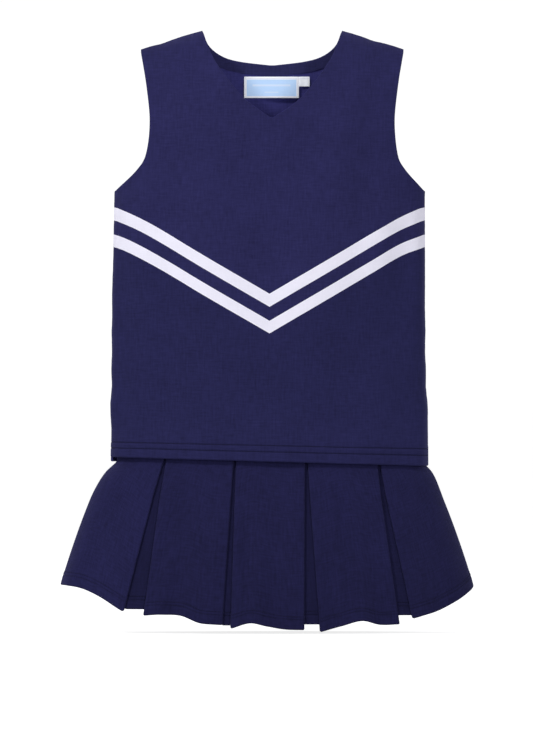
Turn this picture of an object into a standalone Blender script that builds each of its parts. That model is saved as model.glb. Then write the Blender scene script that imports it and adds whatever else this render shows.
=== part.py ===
"""Cheer uniform: a sleeveless V-neck jersey top with two chevron stripes, worn over a box-pleated skirt.

The garment stands upright and empty, in the shape it takes when worn: metres, +Z up, front facing -Y, origin
under its middle at the lowest point of the hem. Left and right are the wearer's, so left is +X.
Every cut piece of fabric is one closed solid, laid on one of two smooth surfaces: the torso of the top, and the
bell of the skirt. Neighbours stop SEAM_GAP apart.
"""
import math

import bpy
from mathutils import Vector
from mathutils.geometry import delaunay_2d_cdt, intersect_point_line

# ---------------------------------------------------------------- fabric
SEAM_GAP = 0.0003
JERSEY = 0.0014
HEM_FOLD = 0.0028
FACING_OUT = 0.0017
FACING_IN = 0.0026
SKIRT_FABRIC = 0.0012
SKIRT_HEM_FOLD = 0.0022
STEP = 0.001
SMOOTH_ANGLE = math.radians(35)

# ---------------------------------------------------------------- top
TOP_HEM_Z = 0.1715
TOP_HEM_DEPTH = 0.0155
UNDERARM = (0.1555, 0.440)
SHOULDER_TIP = (0.1315, 0.583)
NECK_POINT = (0.070, 0.6016)
TOP_WIDTH = ((0.1715, 0.1585), (0.222, 0.1575), (0.254, 0.156), (0.340, 0.1555), (0.700, 0.1555))
TOP_DEPTH = ((0.1715, 0.046), (0.300, 0.043), (0.700, 0.044))
SHOULDER_ROUND = 0.100
ARMHOLE = (SHOULDER_TIP, (0.1255, 0.545), (0.1223, 0.510), (0.1255, 0.478), (0.1340, 0.462), UNDERARM)
FRONT_NECK = (NECK_POINT, (0.064, 0.584), (0.054, 0.565), (0.0285, 0.533), (0.0, 0.512))
BACK_NECK = (NECK_POINT, (0.064, 0.587), (0.051, 0.5765), (0.033, 0.571), (0.0, 0.567))
NECK_FACING = 0.0105
V_FACING_DROP = 0.015
ARM_FACING = 0.010

# Chevron seams, by their height at the centre front; each pair bounds one strip.
CHEVRON_Z = (0.338, 0.325, 0.311, 0.2985)
CHEVRON_SLOPE = 0.590
CHEVRON_EASE_X = 0.115
CHEVRON_EASE = 5.9
CHEVRON_X = (0.0, 0.026, 0.052, 0.078, 0.102, 0.120, 0.134, 0.146, 0.1555)

# Sheet resolution on the torso.
TORSO_RADIUS = 0.1
COLUMNS = 16
ROW_PITCH = 0.034
SHOULDER_ROWS = (0.0025, 0.008, 0.018, 0.034)
KEEP_CLEAR = 0.0065
CURVE_STEPS = 3
SHARE_DECIMALS = 5
PROBE = 1e-5

# ---------------------------------------------------------------- labels at the back neck
LABEL_X = (-0.028, 0.0267)
LABEL_Z = (0.535, 0.556)
TAB_X = (0.0270, 0.0374)
TAB_Z = (0.5465, 0.556)
LABEL_THICK = 0.0006
LABEL_STANDOFF = 0.0005

# ---------------------------------------------------------------- skirt
WAIST_TOP_Z = 0.275
CASING_Z = 0.245
SKIRT_SEAM_Z = 0.176
SKIRT_WIDTH = (
    (0.0, 0.2165), (0.054, 0.2046), (0.086, 0.1945), (0.124, 0.1806), (0.150, 0.1695), (0.161, 0.1628),
    (0.1668, 0.1569), (0.171, 0.1530), (0.176, 0.1525), (0.245, 0.1405), (0.275, 0.1405),
)
SKIRT_DEPTH = (
    (0.0, 0.0740), (0.054, 0.0662), (0.086, 0.0602), (0.124, 0.0530), (0.150, 0.0478), (0.161, 0.0446),
    (0.1668, 0.0424), (0.171, 0.0411), (0.176, 0.0410), (0.245, 0.0382), (0.275, 0.0382),
)
TURN_PROBE = 1e-3
RISE_PROBE = 0.004
WAIST_STEPS = 32
CASING_WALL = 0.001
ELASTIC_THICK = 0.0014
ELASTIC_SIDE_GAP = 0.0003

# Pleat openings at the front: x of the middle at the top seam and at the hem, gap at the top and at the hem.
FRONT_OPENINGS = ((-0.1040, -0.1390, 0.003, 0.0245), (-0.0345, -0.0432, 0.003, 0.0095),
                  (0.0365, 0.0426, 0.003, 0.0170), (0.1080, 0.1398, 0.003, 0.0165))
SIDE_OPENING = (0.003, 0.012)
FACE_NAMES = ("front_right_centre", "front_centre", "front_left_centre", "front_left_side",
              "back_left_side", "back_left_centre", "back_centre", "back_right_centre",
              "back_right_side", "front_right_side")
UNDERLAY_NAMES = ("front_right_outer", "front_right_inner", "front_left_inner", "front_left_outer", "left_side",
                  "back_left_outer", "back_left_inner", "back_right_inner", "back_right_outer", "right_side")
HEM_SIDE_RISE = 0.046
HEM_LOWEST = -0.0016
PANEL_EDGE_DIP = 0.003
SKIRT_HEM_DEPTH = 0.013
HEM_REFERENCE_Z = 0.05
FACE_ROWS = (0.0, 0.022, 0.046, 0.086, 0.16, 0.30, 0.45, 0.68)
UNDERLAY_ROWS = (0.0, 0.046, 0.086, 0.16, 0.30, 0.55, 1.0)
UNDERLAY_OUT = 0.0032
UNDERLAY_IN = 0.0042
UNDERLAY_HEM_LIFT = 0.005
UNDERLAY_REACH = (0.014, 0.017)
SIDE_UNDERLAY_REACH = (0.016, 0.034)
COLUMN_ANGLE = 8.5
FEWEST_FACE_COLUMNS = 4
UNDERLAY_COLUMNS = 3
SIDE_UNDERLAY_COLUMNS = 8

# ---------------------------------------------------------------- colours (linear RGB), roughness
NAVY = (0.024, 0.023, 0.090)
NAVY_LOWER = (0.021, 0.020, 0.076)
SKIRT_NAVY = (0.018, 0.018, 0.066)
FACING_NAVY = (0.020, 0.020, 0.070)
STRIPE_WHITE = (0.86, 0.85, 0.96)
LABEL_WHITE = (0.80, 0.83, 0.95)
ELASTIC_WHITE = (0.78, 0.78, 0.76)
FABRIC_ROUGH = 0.92
LABEL_ROUGH = 0.60


# ================================================================ helpers
def clear_scene():
    for obj in list(bpy.data.objects):
        bpy.data.objects.remove(obj, do_unlink=True)


def fabric_material(name, colour, roughness):
    """A plain Principled material of one colour."""
    mat = bpy.data.materials.new(name)
    mat.use_nodes = True
    shader = mat.node_tree.nodes["Principled BSDF"]
    shader.inputs["Base Color"].default_value = (*colour, 1.0)
    shader.inputs["Roughness"].default_value = roughness
    shader.inputs["Metallic"].default_value = 0.0
    mat.diffuse_color = (*colour, 1.0)
    return mat


def interpolate(knots, at):
    """Straight-line reading of a profile given as (height, value) knots."""
    for (z0, v0), (z1, v1) in zip(knots, knots[1:]):
        if at <= z1:
            return v0 + (v1 - v0) * max(0.0, at - z0) / (z1 - z0)
    return knots[-1][1]


def curve_through(points, steps):
    """Catmull-Rom curve through the points, with its end tangents straight."""
    pts = [Vector(p) for p in points]
    pts = [2 * pts[0] - pts[1]] + pts + [2 * pts[-1] - pts[-2]]
    out = []
    for a, b, c, d in zip(pts, pts[1:], pts[2:], pts[3:]):
        for k in range(steps):
            t = k / steps
            out.append(0.5 * (2 * b + (c - a) * t + (2 * a - 5 * b + 4 * c - d) * t**2
                              + (3 * b - a - 3 * c + d) * t**3))
    return out + [pts[-2]]


def make_object(name, verts, faces, material, origin=(0.0, 0.0, 0.0)):
    """A mesh object whose origin is at the given world point."""
    home = Vector(origin)
    mesh = bpy.data.meshes.new(name)
    mesh.from_pydata([Vector(v) - home for v in verts], [], faces)
    mesh.validate()
    mesh.update()
    for poly in mesh.polygons:
        poly.use_smooth = True
    mesh.set_sharp_from_angle(angle=SMOOTH_ANGLE)
    mesh.materials.append(material)
    obj = bpy.data.objects.new(name, mesh)
    obj.location = home
    bpy.context.scene.collection.objects.link(obj)
    return obj


def solid_from_sheet(outer, inner, faces):
    """Closed solid between two matching sheets: outer skin, inner skin and the walls round their edges."""
    count = len(outer)
    skins = list(faces) + [tuple(count + i for i in reversed(f)) for f in faces]
    directed = {(f[i], f[(i + 1) % len(f)]) for f in faces for i in range(len(f))}
    walls = [(b, a, count + a, count + b) for a, b in directed if (b, a) not in directed]
    return list(outer) + list(inner), skins + walls


# ================================================================ torso surface
def torso_depth_squared(x, z):
    """Squared half-depth of the torso: an ellipse in plan, rounding over to nothing at the shoulder line."""
    across = 1.0 - (x / interpolate(TOP_WIDTH, z)) ** 2
    drop = min(1.0, max(0.0, (shoulder_z(x) - z) / SHOULDER_ROUND))
    return interpolate(TOP_DEPTH, z) ** 2 * max(0.0, across) * (2.0 * drop - drop * drop)


def shoulder_z(x):
    slope = (NECK_POINT[1] - SHOULDER_TIP[1]) / (SHOULDER_TIP[0] - NECK_POINT[0])
    return NECK_POINT[1] - slope * (abs(x) - NECK_POINT[0])


def to_flat(x, z):
    """Pattern coordinates of a point of the torso: s grows with the angle round the body."""
    share = round(x / interpolate(TOP_WIDTH, z), SHARE_DECIMALS)
    return Vector((TORSO_RADIUS * math.asin(max(-1.0, min(1.0, share))), z))


def torso_point(s, z, side, inward):
    """World point of pattern coordinates (s, z), sunk below the outer surface; side is -1 front, +1 back."""
    limit = TORSO_RADIUS * math.pi / 2
    x = interpolate(TOP_WIDTH, z) * math.sin(max(-limit, min(limit, s)) / TORSO_RADIUS)
    z = min(z, shoulder_z(x))
    depth = math.sqrt(torso_depth_squared(x, z))
    near_x = x - math.copysign(PROBE, x)
    slope_x = (torso_depth_squared(near_x, z - PROBE) - torso_depth_squared(near_x - PROBE, z - PROBE)) / PROBE
    if abs(x) <= PROBE:
        slope_x = 0.0
    slope_z = (torso_depth_squared(x, z - PROBE) - torso_depth_squared(x, z - 2 * PROBE)) / PROBE
    normal = Vector((-slope_x, 2.0 * depth * side, -slope_z)).normalized()
    point = Vector((x, side * (depth + SEAM_GAP / 2), z))
    return point - normal * inward


# ================================================================ pattern outlines
def chevron_z(centre, x):
    """Height of a chevron seam: straight from the centre, easing towards level near the side."""
    past = max(0.0, abs(x) - CHEVRON_EASE_X)
    return centre + CHEVRON_SLOPE * abs(x) - CHEVRON_EASE * past**2 / 2


def mirrored(points):
    """The curve, given from +X to the centre, carried on to -X."""
    return list(points) + [Vector((-p[0], p[1])) for p in reversed(points[:-1])]


def beside(points, distance, first, last):
    """The curve moved sideways into the fabric, with its two ends given."""
    out = [Vector(first)]
    for a, b, c in zip(points, points[1:], points[2:]):
        along = (c - a).normalized()
        out.append(b + Vector((-along.y, along.x)) * distance)
    return out + [Vector(last)]


def shoulder_at(x):
    return (x, shoulder_z(x))


def neck_curves(neck, drop):
    """Neck edge and the free edge of its facing, both from the left shoulder to the right."""
    edge = curve_through(neck, CURVE_STEPS)
    inner = beside(edge, NECK_FACING, shoulder_at(NECK_POINT[0] + NECK_FACING), (0.0, edge[-1].y - drop))
    return mirrored(edge), mirrored(inner)


def armhole_curves():
    """Armhole edge and the free edge of its facing on +X, from the shoulder tip to the underarm."""
    edge = curve_through(ARMHOLE, CURVE_STEPS)
    inner = beside(edge, -ARM_FACING, shoulder_at(SHOULDER_TIP[0] - ARM_FACING),
                   (UNDERARM[0], UNDERARM[1] - ARM_FACING))
    return edge, inner


def flip_x(points):
    return [Vector((-p[0], p[1])) for p in points]


def inside(point, loop):
    """Even-odd test of a point against a closed outline."""
    odd = False
    for a, b in zip(loop, loop[1:] + loop[:1]):
        if (a.y > point.y) != (b.y > point.y):
            if point.x < a.x + (b.x - a.x) * (point.y - a.y) / (b.y - a.y):
                odd = not odd
    return odd


def flat(points):
    return [to_flat(p[0], p[1]) for p in points]


def side_heights():
    """Heights of the points down a side seam, underarm first."""
    span = UNDERARM[1] - ARM_FACING - TOP_HEM_Z
    count = round(span / ROW_PITCH)
    return [TOP_HEM_Z + span * (1.0 - k / count) for k in range(1, count + 1)]


def grid_points():
    """Interior points of the torso sheet: level rows, and rows that follow the shoulder."""
    angles = [math.pi * (k / COLUMNS - 0.5) for k in range(COLUMNS + 1)]
    rows = math.ceil((NECK_POINT[1] - TOP_HEM_Z) / ROW_PITCH)
    points = []
    for a in angles:
        s = TORSO_RADIUS * a
        x = UNDERARM[0] * math.sin(a)
        top = shoulder_z(x) - SHOULDER_ROWS[-1] - KEEP_CLEAR
        points += [Vector((s, TOP_HEM_Z + ROW_PITCH * r)) for r in range(rows) if TOP_HEM_Z + ROW_PITCH * r < top]
        points += [Vector((s, shoulder_z(x) - d)) for d in SHOULDER_ROWS]
    return points


def far_from(point, lines):
    for line in lines:
        for a, b in zip(line, line[1:]):
            foot, share = intersect_point_line(point, a, b)
            foot = foot.to_2d() if 0.0 < share < 1.0 else (a if share <= 0.0 else b)
            if (foot - point).length < KEEP_CLEAR:
                return False
    return True


def torso_sheet(neck_edge, seams):
    """Triangulated pattern of one side of the top, with every seam and facing line as an edge."""
    arm, _ = armhole_curves()
    limit = TORSO_RADIUS * math.pi / 2
    right_side = [Vector((limit, z)) for z in side_heights()]
    hem = [Vector((limit - 2 * limit * k / COLUMNS, TOP_HEM_Z)) for k in range(1, COLUMNS)]
    left_side = [Vector((-limit, p.y)) for p in reversed(right_side)]
    outline = flat(arm) + right_side + hem + left_side + flat(flip_x(reversed(arm)))
    outline += flat(reversed(neck_edge))
    lines = [outline + outline[:1]] + seams
    verts, edges = [], []
    for line in lines:
        start = len(verts)
        verts += line
        edges += [(start + k, start + k + 1) for k in range(len(line) - 1)]
    verts += [p for p in grid_points() if inside(p, outline) and far_from(p, lines)]
    points, _, faces, _, _, _ = delaunay_2d_cdt(verts, edges, [], 0, 1e-6)
    keep = []
    for face in faces:
        centre = (points[face[0]] + points[face[1]] + points[face[2]]) / 3
        if inside(centre, outline):
            keep.append(tuple(face))
    return points, keep, outline


def inset_points(points, faces, seams):
    """Pattern points drawn back from the seams a piece shares with its neighbours."""
    directed = {(f[i], f[(i + 1) % 3]) for f in faces for i in range(3)}
    shift = {}
    for a, b in directed:
        if (b, a) in directed or (b, a) not in seams:
            continue
        along = (points[b] - points[a]).normalized()
        into = Vector((-along.y, along.x))
        for k in (a, b):
            shift.setdefault(k, []).append(into)
    moved = {k: points[k].copy() for f in faces for k in f}
    for k, normals in shift.items():
        mean = sum(normals, Vector((0.0, 0.0))).normalized()
        moved[k] += mean * (SEAM_GAP / 2) / max(0.5, mean.dot(normals[0]))
    return moved


def torso_piece(name, sheet, pick, side, skin, material):
    """One cut piece: the sheet's triangles that pick accepts, between the depths that skin gives."""
    points, triangles, _ = sheet
    faces = []
    for f in triangles:
        centre = (points[f[0]] + points[f[1]] + points[f[2]]) / 3
        if pick(centre):
            faces.append(f)
    seams = set()
    if skin is panel_skin:
        seams = {(f[i], f[(i + 1) % 3]) for f in triangles for i in range(3)}
    moved = inset_points(points, faces, seams)
    order = {k: n for n, k in enumerate(moved)}
    outer, inner = [], []
    for p in moved.values():
        shallow, deep = skin(p.y)
        outer.append(torso_point(p.x, p.y, side, shallow))
        inner.append(torso_point(p.x, p.y, side, deep))
    faces = [tuple(order[k] for k in f) for f in faces]
    if side > 0:
        faces = [tuple(reversed(f)) for f in faces]
    return make_object(name, *solid_from_sheet(outer, inner, faces), material)


def panel_skin(z):
    """A panel is one layer of jersey, and two where its hem is turned up."""
    return 0.0, HEM_FOLD if z < TOP_HEM_Z + TOP_HEM_DEPTH + STEP / 2 else JERSEY


def facing_skin(_z):
    return FACING_OUT, FACING_IN


# ================================================================ top
def hem_lines():
    limit = TORSO_RADIUS * math.pi / 2
    lines = []
    for z in (TOP_HEM_Z + TOP_HEM_DEPTH, TOP_HEM_Z + TOP_HEM_DEPTH + STEP):
        lines.append([Vector((limit - 2 * limit * k / COLUMNS, z)) for k in range(COLUMNS + 1)])
    return lines


def chevron_lines():
    lines = []
    for centre in CHEVRON_Z:
        half = [Vector((x, chevron_z(centre, x))) for x in reversed(CHEVRON_X)]
        lines.append(flat(mirrored(half)))
    heights = (CHEVRON_Z[3], CHEVRON_Z[2], CHEVRON_Z[1], CHEVRON_Z[0])
    return lines + [[Vector((0.0, z)) for z in heights]]


def chevron_row(point):
    """Which strip a pattern point lies in: 0 above all, 4 below all."""
    x = interpolate(TOP_WIDTH, point.y) * math.sin(point.x / TORSO_RADIUS)
    return sum(point.y < chevron_z(c, x) for c in CHEVRON_Z)


def band_between(edge, inner):
    """Test for the band of fabric between an edge and its facing's free edge."""
    loop = flat(edge) + flat(reversed(inner))
    return lambda p: inside(p, loop)


def facings(which, sheet, side, neck, navy):
    """The neck facing and the two armhole facings of the front or the back."""
    arm_edge, arm_inner = armhole_curves()
    left_band = band_between(arm_edge, arm_inner)
    right_band = band_between(flip_x(arm_edge), flip_x(arm_inner))
    torso_piece(f"neck_facing_{which}", sheet, band_between(*neck), side, facing_skin, navy)
    torso_piece(f"armhole_facing_{which}_left", sheet, left_band, side, facing_skin, navy)
    torso_piece(f"armhole_facing_{which}_right", sheet, right_band, side, facing_skin, navy)


def facing_lines(neck_inner):
    _, arm_inner = armhole_curves()
    return [flat(neck_inner), flat(arm_inner), flat(flip_x(arm_inner))]


def top_front(navy, lower, white, facing):
    neck = neck_curves(FRONT_NECK, V_FACING_DROP)
    sheet = torso_sheet(neck[0], hem_lines() + chevron_lines() + facing_lines(neck[1]))
    torso_piece("top_front_yoke", sheet, lambda p: chevron_row(p) == 0, -1, panel_skin, navy)
    strips = ((1, "upper_white", white), (2, "middle_navy", navy), (3, "lower_white", white))
    for row, label, material in strips:
        torso_piece(f"chevron_{label}_left", sheet, lambda p, r=row: chevron_row(p) == r and p.x > 0,
                    -1, panel_skin, material)
        torso_piece(f"chevron_{label}_right", sheet, lambda p, r=row: chevron_row(p) == r and p.x < 0,
                    -1, panel_skin, material)
    torso_piece("top_front_lower", sheet, lambda p: chevron_row(p) == 4, -1, panel_skin, lower)
    facings("front", sheet, -1, neck, facing)


def top_back(navy, facing):
    neck = neck_curves(BACK_NECK, NECK_FACING)
    sheet = torso_sheet(neck[0], hem_lines() + facing_lines(neck[1]))
    torso_piece("top_back", sheet, lambda p: True, 1, panel_skin, navy)
    facings("back", sheet, 1, neck, facing)


def hanging_label(name, span_x, span_z, material):
    """A flat label sewn by its top edge inside the back neck; its origin is on the fold it turns about."""
    s_top = to_flat(TAB_X[1], LABEL_Z[1])
    s_low = to_flat(TAB_X[1], LABEL_Z[0])
    back_top = torso_point(s_top.x, LABEL_Z[1], 1, JERSEY).y - LABEL_STANDOFF
    back_low = torso_point(s_low.x, LABEL_Z[0], 1, JERSEY).y - LABEL_STANDOFF
    tilt = (back_top - back_low) / (LABEL_Z[1] - LABEL_Z[0])
    verts = []
    for thick in (0.0, LABEL_THICK):
        for x, z in ((span_x[0], span_z[0]), (span_x[1], span_z[0]), (span_x[1], span_z[1]), (span_x[0], span_z[1])):
            verts.append((x, back_top + tilt * (z - LABEL_Z[1]) - thick, z))
    faces = [(3, 2, 1, 0), (4, 5, 6, 7), (0, 1, 5, 4), (1, 2, 6, 5), (2, 3, 7, 6), (3, 0, 4, 7)]
    fold = (sum(span_x) / 2, back_top - LABEL_THICK, span_z[1])
    return make_object(name, verts, faces, material, fold)


# ================================================================ skirt surface
def skirt_point(angle, z, inward):
    """World point of the skirt's bell, angle in degrees from centre front towards the wearer's left."""
    t = math.radians(angle)

    def place(turn, height):
        width, depth = interpolate(SKIRT_WIDTH, height), interpolate(SKIRT_DEPTH, height)
        return Vector((width * math.sin(turn), -depth * math.cos(turn), height))

    round_body = place(t + TURN_PROBE, z) - place(t - TURN_PROBE, z)
    upward = place(t, min(z + RISE_PROBE, WAIST_TOP_Z)) - place(t, z - RISE_PROBE)
    normal = round_body.cross(upward).normalized()
    return place(t, z) - normal * inward


def plan_point(angle, z, inward):
    """The same, sunk level, so a level edge stays level."""
    t = math.radians(angle)
    width, depth = interpolate(SKIRT_WIDTH, z), interpolate(SKIRT_DEPTH, z)
    normal = Vector((depth * math.sin(t), -width * math.cos(t), 0.0)).normalized()
    return Vector((width * math.sin(t), -depth * math.cos(t), z)) - normal * inward


def scale_at(angle, z):
    """Metres of hem per degree at an angle."""
    return (plan_point(angle + 0.5, z, 0.0) - plan_point(angle - 0.5, z, 0.0)).length


def hem_height(angle):
    return HEM_SIDE_RISE * math.sin(math.radians(angle)) ** 2 + HEM_LOWEST


# ================================================================ waist
def ring_solid(name, profile, material):
    """A band swept round the waist: profile is a closed outline of (inward, height) corners."""
    count = len(profile)
    verts, faces = [], []
    for k in range(WAIST_STEPS):
        angle = 360.0 * (k + 0.5) / WAIST_STEPS
        verts += [plan_point(angle, z, inward) for inward, z in profile]
        a, b = k * count, (k + 1) % WAIST_STEPS * count
        faces += [(a + i, b + i, b + (i + 1) % count, a + (i + 1) % count) for i in range(count)]
    return make_object(name, verts, faces, material)


def waistband(navy, white):
    """An elastic inside a folded casing that is open along its lower edge."""
    room = CASING_WALL + ELASTIC_SIDE_GAP
    back = room + ELASTIC_THICK + ELASTIC_SIDE_GAP
    top, low = WAIST_TOP_Z, CASING_Z
    casing = ((0.0, low), (0.0, top), (back + CASING_WALL, top), (back + CASING_WALL, low),
              (back, low), (back, top - CASING_WALL), (CASING_WALL, top - CASING_WALL), (CASING_WALL, low))
    ring_solid("waistband_casing", casing, navy)
    lip = top - CASING_WALL - 2 * SEAM_GAP
    foot = low + CASING_WALL
    elastic = ((room, foot), (room, lip), (room + ELASTIC_THICK, lip), (room + ELASTIC_THICK, foot))
    ring_solid("waistband_elastic", elastic, white)


def skirt_yoke(name, side, navy):
    """Half of the fitted band between the waistband and the pleats."""
    steps = WAIST_STEPS // 2
    start = -90.0 if side < 0 else 90.0
    heights = (SKIRT_SEAM_Z, CASING_Z - SEAM_GAP)
    outer, inner = [], []
    shift = Vector((0.0, side * SEAM_GAP / 2, 0.0))
    for z in heights:
        for k in range(steps + 1):
            angle = start + 180.0 * k / steps
            outer.append(plan_point(angle, z, 0.0) + shift)
            inner.append(plan_point(angle, z, SKIRT_FABRIC) + shift)
    row = steps + 1
    faces = [(k, k + 1, row + k + 1, row + k) for k in range(steps)]
    return make_object(name, *solid_from_sheet(outer, inner, faces), navy)


# ================================================================ pleats
def openings():
    """All pleat openings in order round the skirt, the back ones mirroring the front.

    Each is a starting angle, the sense in which x turns it, x at the top and hem, and the gap at the top and hem.
    """
    front = [(0.0, 1.0) + opening for opening in FRONT_OPENINGS]
    back = [(180.0, -1.0) + opening for opening in reversed(FRONT_OPENINGS)]
    left_side = (90.0, 0.0, 0.0, 0.0) + SIDE_OPENING
    right_side = (270.0, 0.0, 0.0, 0.0) + SIDE_OPENING
    return front + [left_side] + back + [right_side]


def share_down(z):
    return max(0.0, min(1.0, (SKIRT_SEAM_Z - z) / SKIRT_SEAM_Z))


def opening_edge(opening, z, way, reach=0.0):
    """Angle of a line beside an opening, reach metres beyond its gap; way is -1 before it, +1 after it."""
    start, sense, x_top, x_hem, gap_top, gap_hem = opening
    down = share_down(z)
    x = x_top + (x_hem - x_top) * down
    angle = start + sense * math.degrees(math.asin(x / interpolate(SKIRT_WIDTH, z)))
    gap = gap_top + (gap_hem - gap_top) * down
    return angle + way * (gap / 2 + reach) / scale_at(angle, z)


def pleat_sheet(name, left, right, rows, columns, skin, material, hinge_depth):
    """A hanging panel between two edge lines, hinged on its top edge; its origin is on that hinge line."""
    outer, inner = [], []
    for row in rows:
        for c in range(columns + 1):
            z = row(left, right, c / columns)
            angle = left(z) + (right(z) - left(z)) * c / columns
            shallow, deep = skin(row)
            at = plan_point if row is rows[0] else skirt_point
            outer.append(at(angle, z, shallow))
            inner.append(at(angle, z, deep))
    wide = columns + 1
    faces = []
    for r in range(len(rows) - 1):
        for c in range(columns):
            a = r * wide + c
            faces.append((a + wide, a + wide + 1, a + 1, a))
    first, last = left(SKIRT_SEAM_Z), right(SKIRT_SEAM_Z)
    top_angles = [first + (last - first) * c / columns for c in range(columns + 1)]
    hinge = hinge_line([plan_point(a, SKIRT_SEAM_Z - SEAM_GAP, hinge_depth) for a in top_angles])
    obj = make_object(name, *solid_from_sheet(outer, inner, faces), material, hinge[0])
    obj["hinge_axis"] = list(hinge[1])
    return obj


def hinge_line(top_edge):
    """Point and direction of the level line that touches a curved top edge from outside."""
    first, last = top_edge[0], top_edge[-1]
    along = (last - first).normalized()
    out = Vector((along.y, -along.x, 0.0))
    bulge = max((p - first).dot(out) for p in top_edge)
    return (first + last) / 2 + out * bulge, -along


def hem_at(left, right, across, lift):
    """Height of a panel's hem at a share of the way across it."""
    first, last = left(HEM_REFERENCE_Z), right(HEM_REFERENCE_Z)
    return max(0.0, hem_height(first + (last - first) * across) + dip(across, lift))


def level_row(share, lift):
    """Row at a share of the way from the top seam down to the hem fold."""
    def height(left, right, across):
        foot = hem_at(left, right, across, lift) + SKIRT_HEM_DEPTH + STEP
        top = SKIRT_SEAM_Z - SEAM_GAP
        return top + (foot - top) * share
    return height


def hem_row(above, lift):
    """Row at a fixed distance above the hem."""
    def height(left, right, across):
        return hem_at(left, right, across, lift) + above
    return height


def dip(across, lift):
    """A face panel hangs lowest at its two folded edges; an underlay is level and a little short."""
    return lift if lift > 0.0 else PANEL_EDGE_DIP * (1.0 - (2.0 * across - 1.0) ** 2)


def face_panel(name, before, after, material):
    """A pleat's face, from the opening before it to the one after."""
    def left(z):
        return opening_edge(before, z, 1)

    def right(z):
        return opening_edge(after, z, -1)

    rows = [level_row(s, 0.0) for s in FACE_ROWS] + [level_row(1.0, 0.0)]
    folded = [hem_row(SKIRT_HEM_DEPTH, 0.0), hem_row(0.0, 0.0)]
    columns = max(FEWEST_FACE_COLUMNS, round((right(SKIRT_SEAM_Z) - left(SKIRT_SEAM_Z)) / COLUMN_ANGLE))

    def skin(row):
        return 0.0, SKIRT_HEM_FOLD if row in folded else SKIRT_FABRIC

    return pleat_sheet(name, left, right, rows + folded, columns, skin, material, 0.0)


def underlay_panel(name, opening, reach, columns, material):
    """The fabric folded away behind an opening."""
    def spread(z):
        return reach[0] + (reach[1] - reach[0]) * share_down(z)

    def left(z):
        return opening_edge(opening, z, -1, spread(z))

    def right(z):
        return opening_edge(opening, z, 1, spread(z))

    rows = [level_row(s, UNDERLAY_HEM_LIFT) for s in UNDERLAY_ROWS] + [hem_row(0.0, UNDERLAY_HEM_LIFT)]

    def skin(_row):
        return UNDERLAY_OUT, UNDERLAY_IN

    return pleat_sheet(name, left, right, rows, columns, skin, material, UNDERLAY_OUT)


def pleats(material):
    ring = openings()
    following = ring[1:] + [(ring[0][0] + 360.0,) + ring[0][1:]]
    for name, before, after in zip(FACE_NAMES, ring, following):
        face_panel(f"pleat_face_{name}", before, after, material)
    for name, opening in zip(UNDERLAY_NAMES, ring):
        at_side = "side" in name
        reach = SIDE_UNDERLAY_REACH if at_side else UNDERLAY_REACH
        columns = SIDE_UNDERLAY_COLUMNS if at_side else UNDERLAY_COLUMNS
        underlay_panel(f"pleat_underlay_{name}", opening, reach, columns, material)


# ================================================================ build
def build():
    clear_scene()
    navy = fabric_material("navy_jersey", NAVY, FABRIC_ROUGH)
    lower = fabric_material("navy_jersey_lower", NAVY_LOWER, FABRIC_ROUGH)
    white = fabric_material("white_jersey", STRIPE_WHITE, FABRIC_ROUGH)
    facing = fabric_material("facing_jersey", FACING_NAVY, FABRIC_ROUGH)
    skirt = fabric_material("skirt_jersey", SKIRT_NAVY, FABRIC_ROUGH)
    label = fabric_material("woven_label", LABEL_WHITE, LABEL_ROUGH)
    elastic = fabric_material("elastic", ELASTIC_WHITE, FABRIC_ROUGH)
    top_front(navy, lower, white, facing)
    top_back(navy, facing)
    hanging_label("neck_label", LABEL_X, LABEL_Z, label)
    hanging_label("size_tab", TAB_X, TAB_Z, label)
    waistband(skirt, elastic)
    skirt_yoke("skirt_yoke_front", -1, skirt)
    skirt_yoke("skirt_yoke_back", 1, skirt)
    pleats(skirt)


build()
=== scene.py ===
"""Cheer uniform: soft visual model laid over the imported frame.

The top is two dense pattern sheets, cut along their seams.
The skirt is ten folded pleat faces over ten underlays.
Lengths are in metres. Pattern coordinates are s, round the body from the centre, and z, height.
"""
import math

import bpy
import numpy as np
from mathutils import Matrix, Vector
from mathutils.geometry import delaunay_2d_cdt
from mathutils.kdtree import KDTree


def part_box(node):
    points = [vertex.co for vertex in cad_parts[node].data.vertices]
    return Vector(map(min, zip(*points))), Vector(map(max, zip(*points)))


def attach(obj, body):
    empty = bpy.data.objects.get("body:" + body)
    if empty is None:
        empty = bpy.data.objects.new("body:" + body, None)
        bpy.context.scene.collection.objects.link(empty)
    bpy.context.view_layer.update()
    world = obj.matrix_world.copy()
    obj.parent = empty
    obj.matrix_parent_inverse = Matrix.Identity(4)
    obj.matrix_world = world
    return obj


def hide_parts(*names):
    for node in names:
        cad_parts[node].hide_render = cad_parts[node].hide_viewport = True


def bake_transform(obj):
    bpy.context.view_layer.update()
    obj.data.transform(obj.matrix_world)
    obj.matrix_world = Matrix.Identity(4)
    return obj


# ---- torso pattern, as in the frame
TOP_HEM_Z = 0.1715
UNDERARM = (0.1555, 0.440)
SHOULDER_TIP = (0.1315, 0.583)
NECK_POINT = (0.070, 0.6016)
TOP_WIDTH = ((0.1600, 0.1587), (0.1715, 0.1585), (0.222, 0.1575), (0.254, 0.156), (0.340, 0.1555),
             (0.700, 0.1555))
TOP_DEPTH = ((0.1600, 0.0461), (0.1715, 0.046), (0.300, 0.043), (0.400, 0.0438), (0.700, 0.044))
SHOULDER_ROUND = 0.100
ARMHOLE = (SHOULDER_TIP, (0.1255, 0.545), (0.1223, 0.510), (0.1255, 0.478), (0.1340, 0.462), UNDERARM)
FRONT_NECK = (NECK_POINT, (0.064, 0.584), (0.054, 0.565), (0.0285, 0.533), (0.0, 0.512))
BACK_NECK = (NECK_POINT, (0.064, 0.587), (0.051, 0.5765), (0.033, 0.571), (0.0, 0.567))
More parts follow.
